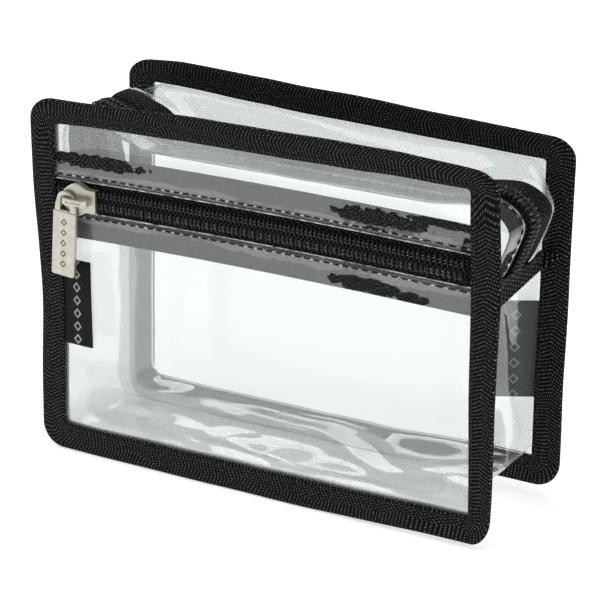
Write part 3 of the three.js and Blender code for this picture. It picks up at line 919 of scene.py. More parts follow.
@dataclass(frozen=True)
class BagShape:
    """The bag's sizes, and the way its soft walls lean and sway.

    The corner radii belong to the bindings. The split is the height where the lower gusset
    ends and the zip gusset starts. The lifts, waist, flare, crest, sway and wave are how far
    the soft edges are pulled from their drawn places.
    """

    width: float = 200.0
    height: float = 144.0
    lean: float = 6.0
    binding_width: float = 11.5
    outer_radius: float = 10.0
    inner_radius: float = 1.5
    gusset_inset: float = 11.7
    gusset_radius: float = 6.0
    split: float = 92.0
    tape_half: float = 17.0
    seam_clear: float = 28.0
    front_foot_lift: float = 1.4
    back_foot_lift: float = 2.2
    left_waist: float = 1.9
    left_flare: float = 1.1
    crest: float = 2.6
    edge_sway: float = 0.9
    edge_wave: float = 0.45

    @property
    def half(self) -> float:
        """Half the bag's width."""
        return self.width / 2

    def lean_share(self, y: np.ndarray) -> np.ndarray:
        """How much of the back panel's lean a depth takes: none in front, all at the back."""
        beyond = np.clip(np.abs(y), self.tape_half, self.seam_clear) - self.tape_half
        return 0.5 + np.sign(y) * 0.5 * beyond / (self.seam_clear - self.tape_half)

    def stand(self, points: Points) -> Points:
        """Lean the walls, then pull the soft edges to where they sag, bow and flare.

        Args:
            points: any shape, three numbers each, as drawn upright.

        Returns:
            The points as the bag stands.
        """
        out = np.array(points, float)
        x, y, z = out[..., 0].copy(), out[..., 1].copy(), out[..., 2].copy()
        front, back = ramp(y, -18, -27), ramp(y, 18, 27)
        out[..., 1] = y + self.lean_share(y) * self.lean * z / self.height
        # Both top edges rise, and the bindings' inner edges more than their folds.
        inner_top = self.height - self.binding_width
        outside = np.clip((z - inner_top) / self.binding_width, 0, 1)
        near_top = ramp(z, inner_top - 8, inner_top)
        for side, table in ((front, FRONT_TOP_RISE), (back, BACK_TOP_RISE)):
            at, inner, outer = np.array(table, float).T
            rise = np.interp(x, at, inner) * (1 - outside) + np.interp(x, at, outer) * outside
            out[..., 2] += side * near_top * rise
        # The front right edge stands out. The left one has a waist, and flares above it.
        inner_right = self.half - self.binding_width
        outside = np.clip((x - inner_right) / self.binding_width, 0, 1)
        at, inner, outer = np.array(FRONT_RIGHT_SHIFT, float).T
        shift = np.interp(z, at, inner) * (1 - outside) + np.interp(z, at, outer) * outside
        out[..., 0] += front * ramp(x, inner_right - 22, inner_right - 2) * shift
        waist = self.left_waist * np.exp(-(((z - 66) / 30) ** 2))
        bow = waist - self.left_flare * ramp(z, 85, 115)
        out[..., 0] += front * ramp(x, -70, -95) * bow
        # The right feet lift off the floor, and the back strip crests at the top left.
        lift = ramp(x, 20, 80) * ramp(z, 45, 5)
        out[..., 2] += (self.back_foot_lift * back + self.front_foot_lift * front) * lift
        crest = ramp(x, -58, -74) * ramp(z, 112, 122) * ramp(y, 3, 12) * ramp(y, 24, 17)
        out[..., 2] += self.crest * crest
        # All the bindings sway and wave a little.
        edge = np.maximum(ramp(np.abs(x), 85, 91), ramp(z, 17, 11))
        edge = np.maximum(edge, ramp(z, 128, 133)) * (front + back)
        place = np.stack([x, np.sign(y) * 40, z], axis=-1)
        out[..., 1] += self.edge_sway * edge * ripples(place, 34.0, 3.1)
        out[..., 2] += self.edge_wave * edge * ramp(z, 2, 14) * ripples(place, 22.0, 9.4)
        return out

    def outline(self, inset: float, radius: float, step: float) -> Points:
        """A rounded rectangle in XZ, from the lower right corner round to where it started.

        Args:
            inset: its distance inside the bag's outer edge.
            radius: its corner radius.
            step: the distance between points on the legs and, at most, on the arcs' mid line.

        Returns:
            n by 2 points, matched one to one between outlines of the same step.
        """
        x, low, high = self.half - inset - radius, inset + radius, self.height - inset - radius
        legs = [
            ((x, low), -90, (self.half - inset, low), (self.half - inset, high)),
            ((x, high), 0, (x, self.height - inset), (-x, self.height - inset)),
            ((-x, high), 90, (-self.half + inset, high), (-self.half + inset, low)),
            ((-x, low), 180, (-x, inset), (x, inset)),
        ]
        long, tall = 2 * (self.half - self.outer_radius), self.height - 2 * self.outer_radius
        turn = round(self.outer_radius * math.pi / 4 / step)
        points: list[Sequence[float]] = []
        for k, (centre, start, a, b) in enumerate(legs):
            angles = np.radians(start + np.arange(turn) * 90 / turn)
            points += [
                (centre[0] + radius * math.cos(t), centre[1] + radius * math.sin(t)) for t in angles
            ]
            count = round((tall if k % 2 == 0 else long) / step)
            share = (np.arange(count) / count)[:, None]
            points += (np.array(a) * (1 - share) + np.array(b) * share).tolist()
        return np.array(points)

    def seam_point(self, share: float) -> tuple[float, float]:
        """A point of the gusset's seam over the top of the bag.

        Args:
            share: 0 to 1 up the right side, 1 to 2 over the top and 2 to 3 down the left.

        Returns:
            The point's x and z.
        """
        edge, top = self.half - self.gusset_inset, self.height - self.gusset_inset
        if share <= 1:
            x, z = edge, self.split + (top - self.split) * share
        elif share <= 2:
            x, z = edge * (3 - 2 * share), top
        else:
            x, z = -edge, self.split + (top - self.split) * (3 - share)
        across = max(abs(x) - (edge - self.gusset_radius), 0.0)
        up = max(z - (top - self.gusset_radius), 0.0)
        reach = math.hypot(across, up)
        pull = min(1.0, self.gusset_radius / reach) if across > 0 and up > 0 else 1.0
        if across > 0:
            x = math.copysign(edge - self.gusset_radius + across * pull, x)
        if up > 0:
            z = top - self.gusset_radius + up * pull
        return x, z


# How far the top edges stand above their drawn height: x, then at the binding's inner edge
# and at its outer edge.
FRONT_TOP_RISE = (
    (-95, 2.4, 0.3),
    (-75, 3.6, 1.0),
    (-50, 4.3, 1.9),
    (-25, 4.6, 2.5),
    (25, 5.0, 2.9),
    (60, 5.6, 2.7),
    (88, 5.8, 1.2),
    (100, 5.0, 0.4),
)
BACK_TOP_RISE = (
    (-100, 4.4, 1.0),
    (-75, 4.2, 2.4),
    (-50, 3.1, 1.8),
    (-25, 2.0, 1.0),
    (0, 1.2, 0.3),
    (25, 0.6, -0.8),
    (50, 0.0, -1.8),
    (75, -0.6, -2.6),
    (100, -1.2, -3.8),
)
# How far the front right edge stands outside its drawn place: z, then inner and outer edge.
FRONT_RIGHT_SHIFT = (
    (0, 4.4, 0.6),
    (20, 4.5, 1.4),
    (60, 4.0, 2.2),
    (100, 3.7, 3.4),
    (130, 3.0, 2.3),
    (144, 2.6, 1.2),
)

BAG = BagShape()

# The main zip's line, right to left: the seam's share, then x and z.
ZIP_LINE = (
    (0, 88.3, 92.2),
    (0.12, 90.4, 96),
    (0.28, 93.2, 101),
    (0.46, 95.8, 107),
    (0.64, 98.2, 113),
    (0.82, 99.2, 118),
    (1, 96.8, 122.3),
    (1.03, 92.4, 125.4),
    (1.06, 87, 127),
    (1.09, 81, 126.9),
    (1.12, 74, 126),
    (1.16, 64, 125),
    (1.84, -58, 125),
    (1.88, -65, 127.2),
    (1.92, -72, 130.2),
    (1.94, -79, 132.4),
    (1.96, -85.5, 134.4),
    (1.98, -90, 135),
    (2, -93.6, 133),
    (2.18, -95.3, 128),
    (2.4, -95.2, 120),
    (2.64, -93.2, 110),
    (2.84, -90.8, 100.6),
    (3, -88.3, 92.2),
)
STRAIGHT_SPAN = 11  # the number of the span where the main slider runs
FRONT_ZIP_HEIGHT = 107.2
FRONT_ZIP_ARCH = 1.3


@dataclass
class ZipLine:
    """Matching points along the gusset's seam and along the main zip."""

    per_span: int = 8
    straight_steps: int = 60
    seam: Points = field(init=False)
    zip: Points = field(init=False)

    def __post_init__(self) -> None:
        """Work out both lines."""
        table = np.array(ZIP_LINE, float)
        last = len(table) - 1
        seam, line = [], []
        for i in range(last):
            steps = self.straight_steps if i == STRAIGHT_SPAN else self.per_span
            before = table[max(i - 1, 0)]
            after = table[min(i + 2, last)]
            for k in range(steps):
                t = k / steps
                share = table[i][0] + (table[i + 1][0] - table[i][0]) * t
                seam.append(BAG.seam_point(share))
                line.append(self.between(before, table[i], table[i + 1], after, t, i))
        seam.append(BAG.seam_point(table[last][0]))
        line.append(table[last][1:])
        self.seam, self.zip = np.array(seam), np.array(line)

    @staticmethod
    def between(
        before: np.ndarray, a: np.ndarray, b: np.ndarray, after: np.ndarray, t: float, span: int
    ) -> np.ndarray:
        """A point of the zip's curve between two entries, straight where the slider runs.

        Args:
            before: the entry before the span.
            a: the entry where the span starts.
            b: the entry where it ends.
            after: the entry after the span.
            t: how far along the span the point is, from 0 to 1.
            span: the span's number.

        Returns:
            The point's x and z.
        """
        p0, p1, p2, p3 = (entry[1:] for entry in (before, a, b, after))
        if span == STRAIGHT_SPAN:
            return p1 + (p2 - p1) * t
        size = np.linalg.norm(p2 - p1)
        m1 = (p2 - p0) / max(np.linalg.norm(p2 - p0), 1e-9) * size
        m2 = (p3 - p1) / max(np.linalg.norm(p3 - p1), 1e-9) * size
        if span == STRAIGHT_SPAN - 1:
            m2 = np.array([-size, 0.0])
        if span == STRAIGHT_SPAN + 1:
            m1 = np.array([-size, 0.0])
        cubes = (2 * t**3 - 3 * t**2 + 1, t**3 - 2 * t**2 + t, -2 * t**3 + 3 * t**2, t**3 - t**2)
        return cubes[0] * p1 + cubes[1] * m1 + cubes[2] * p2 + cubes[3] * m2

    def at_depth(self, y: float) -> Points:
        """The zip gusset's line at a depth: the seam's at its edges, the zip's in the middle."""
        share = ramp(abs(y), BAG.seam_clear, BAG.tape_half)
        return self.seam + (self.zip - self.seam) * share


LINE = ZipLine()


def zip_arch(points: Points) -> np.ndarray:
    """How far the front zip and the film beside it arch up between the side bindings.

    Args:
        points: any shape, three numbers each, as drawn upright.

    Returns:
        The rise of each point.
    """
    x, y, z = points[..., 0], points[..., 1], points[..., 2]
    band = ramp(z, 50, 95) * ramp(z, 134, 126) * ramp(y, -29, -29.6)
    return FRONT_ZIP_ARCH * band * (1 - np.clip((x - 5) / 88, -1, 1) ** 2)


def outward(line: Points) -> Points:
    """Unit normals of a line in XZ that runs counter-clockwise round the bag.

    Args:
        line: n by 2.

    Returns:
        n by 2.
    """
    along = np.gradient(line, axis=0)
    normals = np.stack([along[:, 1], -along[:, 0]], axis=1)
    return normals / np.maximum(np.linalg.norm(normals, axis=1, keepdims=True), 1e-9)


# --------------------------------------------------------------------------------- pieces


@dataclass
class Binding:
    """Grosgrain tape folded over the edges of one face, with its rows of lockstitch.

    Outer and inner are the depths of the face that looks out of the bag and of the one that
    looks into it. The film lies in the slot between the tape's lips.
    """

    face: Face
    outer: float
    inner: float
    lip: float = 0.45
    slot_share: float = 0.8
    step: float = 0.37
    rib_depth: float = 0.05
    stitch_pitch: float = 3.6
    stitch_half: float = 1.296
    stitch_row: float = 0.15  # share of the width where the stitches run
    thread_radius: float = 0.22
    ring: Points = field(init=False)
    inside: Points = field(init=False)
    along: np.ndarray = field(init=False)

    def __post_init__(self) -> None:
        """Lay out the matching outlines of the tape's outer fold and inner edge."""
        self.ring = BAG.outline(0, BAG.outer_radius, self.step)
        self.inside = BAG.outline(BAG.binding_width, BAG.inner_radius, self.step)
        middle = (self.ring + self.inside) / 2
        gaps = np.linalg.norm(np.diff(middle, axis=0), axis=1)
        self.along = np.concatenate([[0], np.cumsum(gaps)])

    def section(self) -> list[tuple[float, float, float]]:
        """The tape's section round its fold.

        Returns:
            For each point a share of the width, a depth, and how far the ribs lift it.
        """
        middle = (self.outer + self.inner) / 2
        half = abs(self.inner - self.outer) / 2
        side = 1.0 if self.inner > self.outer else -1.0
        face = [(0.0, 0.93), (0.1, 1.0), (0.35, 1.02), (0.65, 1.02), (0.86, 1.0), (0.95, 0.86)]
        bend = [(0.985, -0.5), (1.0, 0.0), (0.985, 0.5)]
        slot = [(0.0, 1), (self.slot_share, 1), (self.slot_share, -1), (0.0, -1)]
        points = [(share, middle - side * half * y, -side) for share, y in face]
        points += [(share, middle + side * half * y, 0.0) for share, y in bend]
        points += [(share, middle + side * half * y, side) for share, y in reversed(face)]
        points += [(share, middle + side * (half - self.lip) * y, 0.0) for share, y in slot]
        return points

    def at(self, station: np.ndarray, share: float, depth: float) -> Points:
        """Points on the tape.

        Args:
            station: whole or part stations along the tape.
            share: the share of the tape's width, 0 at its inner edge and 1 at the fold.
            depth: the depth.

        Returns:
            n by 3.
        """
        index = np.arange(len(self.ring) + 1)
        ring = np.vstack([self.ring, self.ring[:1]])
        inside = np.vstack([self.inside, self.inside[:1]])
        middle = inside + (ring - inside) * share
        x, z = (np.interp(station, index, middle[:, k]) for k in (0, 1))
        return np.stack([x, np.full_like(x, depth), z], axis=-1)

    def build(self) -> None:
        """Make the folded tape and its stitches, and let them stand for the CAD ring."""
        name = f"{self.face.name.lower()}_binding"
        section = self.section()
        stations = np.arange(len(self.ring), dtype=float)
        columns, uv = [], []
        ribs = self.rib_depth * np.cos(2 * math.pi * self.along / GROSGRAIN.rib_mm)
        for share, depth, lift in section:
            column = self.at(stations, share, depth)
            column[:, 1] += lift * ribs
            columns.append(column)
            over = np.full_like(self.along, share * BAG.binding_width)
            uv.append(np.stack([self.along, over], axis=1))
        grid = np.stack(columns, axis=1)
        rows, count = grid.shape[:2]
        faces: Faces = []
        for i in range(rows):
            for j in range(count):
                a, b = i * count + j, i * count + (j + 1) % count
                c, d = (i + 1) % rows * count + (j + 1) % count, (i + 1) % rows * count + j
                faces.append((a, b, c, d) if self.face is Face.BACK else (d, c, b, a))
        piece = make_piece(
            f"{name}_tape",
            BAG.stand(grid).reshape(-1, 3),
            faces,
            [GROSGRAIN],
            uv=np.stack(uv, axis=1).reshape(-1, 2),
        )
        fit_to_body(piece, "bag", "webbing", name)
        self.build_stitches(name)

    def build_stitches(self, name: str) -> None:
        """Two rows of lockstitch near the tape's inner edge, one seen on each face.

        Args:
            name: the binding's name.
        """
        length = self.along[-1]
        count = int(length / self.stitch_pitch)
        steps = stitch(self.stitch_half)
        stations = np.arange(len(self.ring))
        lines = []
        for depth, side in ((self.outer, -1), (self.inner, 1)):
            toward = side if self.inner > self.outer else -side
            for k in range(count):
                centre = (k + 0.5) * length / count
                where = np.interp(centre + steps, self.along, stations)
                line = self.at(where, self.stitch_row, depth)
                line[:, 1] += toward * np.array([-0.2, 0.06, 0.16, 0.06, -0.2])
                lines.append(BAG.stand(line))
        points, faces = tubes(lines, self.thread_radius, 6)
        piece = make_piece(f"{name}_stitching", points, faces, [THREAD])
        fit_to_body(piece, "bag", "webbing")


@dataclass
class ClearWalls:
    """The flat film walls: two front sheets, the pocket's back wall and the back panel."""

    thick: float = 0.4
    inset: float = 5.0
    front_depth: float = -30.55
    divider_depth: float = -29.5
    back_depth: float = 30.5
    zip_gap: float = 6.25
    bow: float = 6.5
    step: float = 2.0

    def wall(
        self,
        name: str,
        node: str,
        span: tuple[float, float],
        surface: Callable[[np.ndarray, np.ndarray], np.ndarray],
        film: ClearVinyl = VINYL,
    ) -> None:
        """Make one sheet.

        Args:
            name: the piece's name.
            node: the CAD node that it replaces.
            span: its lowest and highest z.
            surface: its depth at each x and z.
            film: its finish.
        """
        half = BAG.half - self.inset
        x = np.linspace(-half, half, round(2 * half / self.step) + 1)
        z = np.linspace(*span, round((span[1] - span[0]) / self.step) + 1)
        across, up = np.meshgrid(x, z, indexing="ij")
        grid = np.stack([across, surface(across, up), up], axis=-1)
        points, faces, kinds = sheet_mesh(self.shape(grid), self.thick)
        uv = pattern(across, up - FRONT_ZIP_HEIGHT)
        piece = make_piece(name, points, faces, [film, EDGE_HIGHLIGHT], kinds, uv)
        fit_to_body(piece, "bag", "vinyl", node)

    @staticmethod
    def shape(grid: Points) -> Points:
        """Where a sheet's points come to lie, with the pocket's zip arched a little.

        Args:
            grid: the sheet's points, as drawn upright.

        Returns:
            The points as the bag stands.
        """
        out = BAG.stand(grid)
        out[..., 2] += zip_arch(grid)
        return out

    def front(self, across: np.ndarray, up: np.ndarray) -> np.ndarray:
        """The front sheets swell outwards a little between the zip and the binding.

        Args:
            across: the x of each point.
            up: the z of each point.

        Returns:
            The depth of each point.
        """
        edge = ramp(np.abs(across), 88, 63)
        off_zip = ramp(np.abs(up - FRONT_ZIP_HEIGHT) - self.zip_gap, 2, 24)
        off_seam = ramp(up, 12, 37) * ramp(up, 134, 124)
        place = np.stack([across, np.zeros_like(across), up], axis=-1)
        wave = 0.5 + 0.5 * ripples(place, 46.0, 1.7)
        return self.front_depth - 1.1 * edge * off_zip * off_seam * wave

    def divider(self, across: np.ndarray, up: np.ndarray) -> np.ndarray:
        """The pocket's back wall bows into the bag.

        Args:
            across: the x of each point.
            up: the z of each point.

        Returns:
            The depth of each point.
        """
        edge = ramp(np.abs(across), 87, 71)
        ends = ramp(up, 13, 29) * ramp(up, 131, 117)
        place = np.stack([across, np.zeros_like(across), up], axis=-1)
        return self.divider_depth + edge * ends * (self.bow - 1.2 + 1.2 * ripples(place, 40.0, 5.2))

    def back(self, across: np.ndarray, up: np.ndarray) -> np.ndarray:
        """The back panel swells outwards a little.

        Args:
            across: the x of each point.
            up: the z of each point.

        Returns:
            The depth of each point.
        """
        edge = ramp(np.abs(across), 88, 58) * ramp(up, 12, 42)
        place = np.stack([across, np.zeros_like(across), up], axis=-1)
        swell = edge * ramp(up, 132, 107) * (0.5 + 0.5 * ripples(place, 52.0, 7.9))
        return self.back_depth + 1.2 * swell

    def build(self) -> None:
        """Make the four sheets."""
        low, high = self.inset, BAG.height - self.inset
        under = (low, FRONT_ZIP_HEIGHT - self.zip_gap)
        over = (FRONT_ZIP_HEIGHT + self.zip_gap, high)
        film = POCKET_VINYL
        self.wall("front_lower_film", "front_panel_lower", under, self.front, film)
        self.wall("front_upper_film", "front_panel_upper", over, self.front, film)
        self.wall("pocket_back_film", "pocket_divider", (low, high), self.divider)
        self.wall("back_film", "back_panel", (low, high), self.back)


@dataclass
class Gussets:
    """The film between the faces: the creased lower band and the strips beside the main zip.

    The flanges lie in the bindings, and bend to the depth of the bag. The crease is how far
    the lower band is pushed in and out, and the strip wave how far the strips undulate.
    """

    thick: float = 0.4
    flange: float = 6.5
    front_flange: float = -29.0
    back_flange: float = 29.45
    bend: float = 2.0
    vinyl_edge: float = 6.25
    crease: float = 4.4
    strip_wave: float = 1.3

    def lower_line(self) -> Points:
        """The lower gusset's line, from the left split round the bottom to the right split.

        Returns:
            n by 2, the line's x and z.
        """
        edge = BAG.half - BAG.gusset_inset
        radius, base = BAG.gusset_radius, BAG.gusset_inset
        left = np.stack([np.full(50, -edge), np.linspace(BAG.split - 0.2, base + radius, 50)], 1)
        turn = np.radians(np.linspace(180, 270, 9))[1:-1]
        corner = np.stack([radius * np.cos(turn), radius * np.sin(turn)], 1)
        bottom = np.stack([np.linspace(radius - edge, edge - radius, 110), np.full(110, base)], 1)
        first = corner + np.array([radius - edge, base + radius])
        second = corner[::-1] * np.array([-1, 1]) + np.array([edge - radius, base + radius])
        right = left[::-1] * np.array([-1, 1])
        return np.concatenate([left, first, bottom, second, right])

    def band(self, line: Points, depths: Sequence[tuple[float, float]]) -> Points:
        """A grid along a line in XZ.

        Args:
            line: n by 2.
            depths: for each column how far it stands outwards of the line, and its depth.

        Returns:
            n by columns by 3.
        """
        normal = outward(line)
        columns = []
        for out, depth in depths:
            moved = line + normal * out
            columns.append(np.stack([moved[:, 0], np.full(len(line), depth), moved[:, 1]], 1))
        return np.stack(columns, axis=1)

    def build_lower(self) -> None:
        """Make the lower band, creased where it is pushed in on itself."""
        inner = -self.thick / 2
        depths = [(out, self.front_flange) for out in (self.flange, self.bend, inner)]
        depths += [(inner, depth) for depth in np.linspace(-27.5, 28.0, 30)]
        depths += [(out, self.back_flange) for out in (inner, self.bend, self.flange)]
        line = self.lower_line()
        grid = self.band(line, depths)
        free = ramp(np.abs(grid[..., 1]), 28, 16) * ramp(grid[..., 2], BAG.split, BAG.split - 10)
        place = grid * np.array([1, 1.3, 1])
        broad = ripples(place, 42.0, 4.4)
        fine = 1 - 2 * np.abs(ripples(place, 24.0, 8.3))
        side = outward(line)
        floor = np.clip(-side[:, None, 1], 0.3, 1)
        slanted = place * np.array([0.55, 1, 0.55]) + np.array([0.5, 0, 0]) * place[..., 1:2]
        sharp = 1 - 2 * np.abs(ripples(slanted + 5 * broad[..., None], 25.0, 6.6))
        push = free * self.crease * floor * (0.7 * broad + 0.12 * fine + 0.6 * sharp - 0.5)
        grid[..., 0] += push * side[:, None, 0]
        grid[..., 2] += push * side[:, None, 1]
        points, faces, kinds = sheet_mesh(BAG.stand(grid), self.thick)
        along = np.cumsum(np.linalg.norm(np.diff(line, axis=0, prepend=line[:1]), axis=1))
        uv = pattern(*np.meshgrid(along, [depth for _, depth in depths], indexing="ij"))
        finishes = [CRUMPLED_VINYL, EDGE_HIGHLIGHT]
        piece = make_piece("lower_gusset_film", points, faces, finishes, kinds, uv)
        fit_to_body(piece, "bag", "vinyl", "lower_gusset")

    def build_strip(self, face: Face) -> None:
        """Make the film strip between one binding and the main zip.

        The back strip passes under the zip's tape, and the front one over it.

        Args:
            face: the face whose binding holds the strip.
        """
        side, end = face.value, face.name.lower()
        flange = self.front_flange if face is Face.FRONT else self.back_flange
        inner = -self.thick / 2
        flanges = [(out, flange) for out in (self.flange, self.bend, inner)]
        columns = list(np.moveaxis(self.band(LINE.seam, flanges), 1, 0))
        for depth in np.linspace(BAG.seam_clear, self.vinyl_edge, 22) * side:
            below = ramp(depth, 18.5, 17) if face is Face.BACK else 0.0
            columns.append(self.band(LINE.at_depth(depth), [(inner - below, depth)])[:, 0])
        grid = np.stack(columns, axis=1)
        free = ramp(np.abs(grid[..., 1]), 27, 21) * ramp(np.abs(grid[..., 1]), 17, 21)
        grid[..., 2] += free * self.strip_wave * ripples(grid, 34.0, 2.2 + side)
        points, faces, kinds = sheet_mesh(BAG.stand(grid), self.thick)
        if face is Face.BACK:
            faces = [quad[::-1] for quad in faces]
        finishes = [SMOKY_VINYL, EDGE_HIGHLIGHT]
        piece = make_piece(f"zip_gusset_{end}_film", points, faces, finishes, kinds)
        fit_to_body(piece, "bag", "vinyl", f"zip_gusset_{end}")

    def build(self) -> None:
        """Make the lower band and both strips."""
        self.build_lower()
        self.build_strip(Face.FRONT)
        self.build_strip(Face.BACK)


STITCH_RISE = np.array([-0.35, 0.1, 0.2, 0.1, -0.35])  # a stitch's height from end to end


@dataclass
class ZipChain:
    """A nylon coil zip along any line: two tapes, two coils and the stitches that hold them.

    Near and far name its halves, at negative and positive places across it. Place turns
    along, across and out of the zip to the bag's frame. The film's top is its height over the
    tape on each half, and a film below the tape shows no rim.
    """

    name: str
    near: str
    far: str
    place: Callable[[np.ndarray, np.ndarray, np.ndarray], Points]
    length: float
    coil_span: tuple[float, float]
    pitch: float = 1.85
    tape_half: float = 17.0
    tape_slit: float = 0.06
    tape_thick: float = 0.4
    filament: float = 0.37  # its radius
    coil_middle: float = 1.95  # from the zip's middle to the coil's
    coil_reach: float = 2.0
    coil_height: float = 1.25  # of its middle over the tape
    coil_rise: float = 0.82
    thread_rows: tuple[float, float] = (1.7, 2.9)
    thread_height: float = 2.05
    thread_radius: float = 0.17
    vinyl_edge: float = 6.25
    film_thick: float = 0.4
    seam_inset: float = 1.9  # from the film's edge to its stitches
    seam_pitch: float = 4.1
    seam_half: float = 1.35
    seam_radius: float = 0.3
    rim_radius: float = 0.25
    film_top: dict[int, float] = field(default_factory=lambda: {-1: 0.5, 1: 0.5})

    @property
    def turns(self) -> int:
        """How many turns each coil has."""
        return int((self.coil_span[1] - self.coil_span[0]) / self.pitch) - 1

    def build_tape(self, side: int, node: str) -> None:
        """One woven tape, from the slit in the middle to its selvedge.

        Args:
            side: -1 for the near half, 1 for the far one.
            node: the CAD node that it replaces.
        """
        along = np.linspace(0, self.length, max(round(self.length / 1.5), 2))
        across = np.linspace(self.tape_slit, self.tape_half, 18) * side
        s, v = np.meshgrid(along, across, indexing="ij")
        grid = self.place(s, v, np.full_like(s, -self.tape_thick / 2))
        points, faces, _ = sheet_mesh(grid, self.tape_thick)
        piece = make_piece(f"{node}_woven", points, faces, [ZIP_TAPE], uv=pattern(s, v))
        fit_to_body(piece, "bag", "zip_tape", node)

    def build_coil(self, side: int, node: str) -> None:
        """One coil: a filament wound in flat turns that reach past the middle to interlock.

        Args:
            side: -1 for the near half, 1 for the far one.
            node: the CAD node that it replaces.
        """
        per_turn = 16
        angle = np.arange(self.turns * per_turn + 1) * 2 * math.pi / per_turn
        start = self.coil_span[0] + self.pitch * (0.75 if side > 0 else 0.25)
        s = start + self.pitch * angle / (2 * math.pi)
        flat = np.sign(np.cos(angle)) * np.abs(np.cos(angle)) ** 0.75
        v = side * (self.coil_middle + self.coil_reach * flat)
        line = self.place(s, v, self.coil_height + self.coil_rise * np.sin(angle))
        points, faces = tube(line, self.filament, 8, 0)
        piece = make_piece(f"{node}_filament", points, faces, [NYLON])
        fit_to_body(piece, "bag", "nylon_coil", node)

    def build_coil_thread(self) -> None:
        """The chain stitch that ties each turn of both coils down to its tape."""
        step = np.array([-0.62, -0.34, 0.0, 0.34, 0.62])
        lines = []
        for side in (-1, 1):
            for row in self.thread_rows:
                for k in range(self.turns):
                    s = self.coil_span[0] + self.pitch * (k + 0.5 + 0.2 * side) + step
                    v = side * (row + step * 0.75)
                    lines.append(self.place(s, v, self.thread_height + STITCH_RISE))
        points, faces = tubes(lines, self.thread_radius, 5)
        piece = make_piece(f"{self.name}_coil_thread", points, faces, [COIL_THREAD])
        fit_to_body(piece, "bag", "nylon_coil")

    def build_seam(self) -> None:
        """The lockstitch through the film and the tape beside each cut edge."""
        lines = []
        for side in (-1, 1):
            row = side * (self.vinyl_edge + self.seam_inset)
            for k in range(int(self.length / self.seam_pitch)):
                s = (k + 0.5) * self.seam_pitch + stitch(self.seam_half)
                if s[0] < 0 or s[-1] > self.length:
                    continue
                w = self.film_top[side] + STITCH_RISE
                lines.append(self.place(s, np.full_like(s, row), w))
        points, faces = tubes(lines, self.seam_radius, 6)
        piece = make_piece(f"{self.name}_seam_thread", points, faces, [THREAD])
        fit_to_body(piece, "bag", "zip_tape")

    def build_rims(self) -> None:
        """Painted white highlights on the film's edge rims and on its puckers between stitches."""
        lines, radii = [], []
        for side, top in self.film_top.items():
            if top < self.film_thick:
                continue
            s = np.arange(0, self.length, 1.5)
            edge = np.full_like(s, side * self.vinyl_edge)
            lines.append(self.place(s, edge, np.full_like(s, top - self.film_thick / 2)))
            radii.append(np.full_like(s, self.rim_radius))
            for k in range(1, int(self.length / self.seam_pitch)):
                s = k * self.seam_pitch + np.array([-0.75, -0.4, 0.0, 0.4, 0.75])
                row = np.full_like(s, side * (self.vinyl_edge + self.seam_inset))
                lines.append(self.place(s, row, np.full_like(s, top)))
                radii.append(np.array([0.08, 0.24, 0.3, 0.24, 0.08]))
        points, faces = tubes(lines, radii, 6)
        piece = make_piece(f"{self.name}_film_rims", points, faces, [EDGE_HIGHLIGHT])
        fit_to_body(piece, "bag", "vinyl")

    def build(self) -> None:
        """Make the tapes, coils, stitches and film rims."""
        for side, end in ((-1, self.near), (1, self.far)):
            self.build_tape(side, f"{self.name}_tape_{end}")
            self.build_coil(side, f"{self.name}_coil_{end}")
        self.build_coil_thread()
        self.build_seam()
        self.build_rims()


def front_zip() -> ZipChain:
    """The pocket's zip, straight across the front.

    Returns:
        The zip, not yet built.
    """
    edge, depth, coil_end = 93.0, -30.25, 4.9

    def place(s: np.ndarray, v: np.ndarray, w: np.ndarray) -> Points:
        """Turn places on the zip to the bag's frame.

        Args:
            s: along to the right.
            v: across, upwards.
            w: out towards the front.

        Returns:
            Points, three numbers each.
        """
        s, v, w = np.broadcast_arrays(s, v, w)
        upright = np.stack([s - edge, depth - w, FRONT_ZIP_HEIGHT + v], axis=-1).astype(float)
        level = upright * np.array([1, 0, 1]) + np.array([0, depth, 0])
        out = BAG.stand(upright)
        out[..., 2] += zip_arch(level)
        return out

    span = (coil_end, 2 * edge - coil_end)
    return ZipChain("front_zip", "lower", "upper", place, 2 * edge, span)


def main_zip() -> ZipChain:
    """The top zip, up the right side, over the top and down the left.

    Returns:
        The zip, not yet built.
    """
    sunk, coil_end = 0.5, 6.5
    gaps = np.linalg.norm(np.diff(LINE.zip, axis=0), axis=1)
    along = np.concatenate([[0], np.cumsum(gaps)])
    normal = outward(LINE.zip)

    def place(s: np.ndarray, v: np.ndarray, w: np.ndarray) -> Points:
        """Turn places on the zip to the bag's frame.

        Args:
            s: along the zip's line.
            v: across to the back.
            w: out from the bag.

        Returns:
            Points, three numbers each.
        """
        s, v, w = np.broadcast_arrays(s, v, w)
        x, z = (np.interp(s, along, LINE.zip[:, k]) for k in (0, 1))
        nx, nz = (np.interp(s, along, normal[:, k]) for k in (0, 1))
        out = w - sunk
        return BAG.stand(np.stack([x + nx * out, v.astype(float), z + nz * out], axis=-1))

    length = float(along[-1])
    span = (coil_end, length - coil_end)
    tops = {-1: 0.5, 1: 0.1}
    return ZipChain("main_zip", "front", "back", place, length, span, film_top=tops)


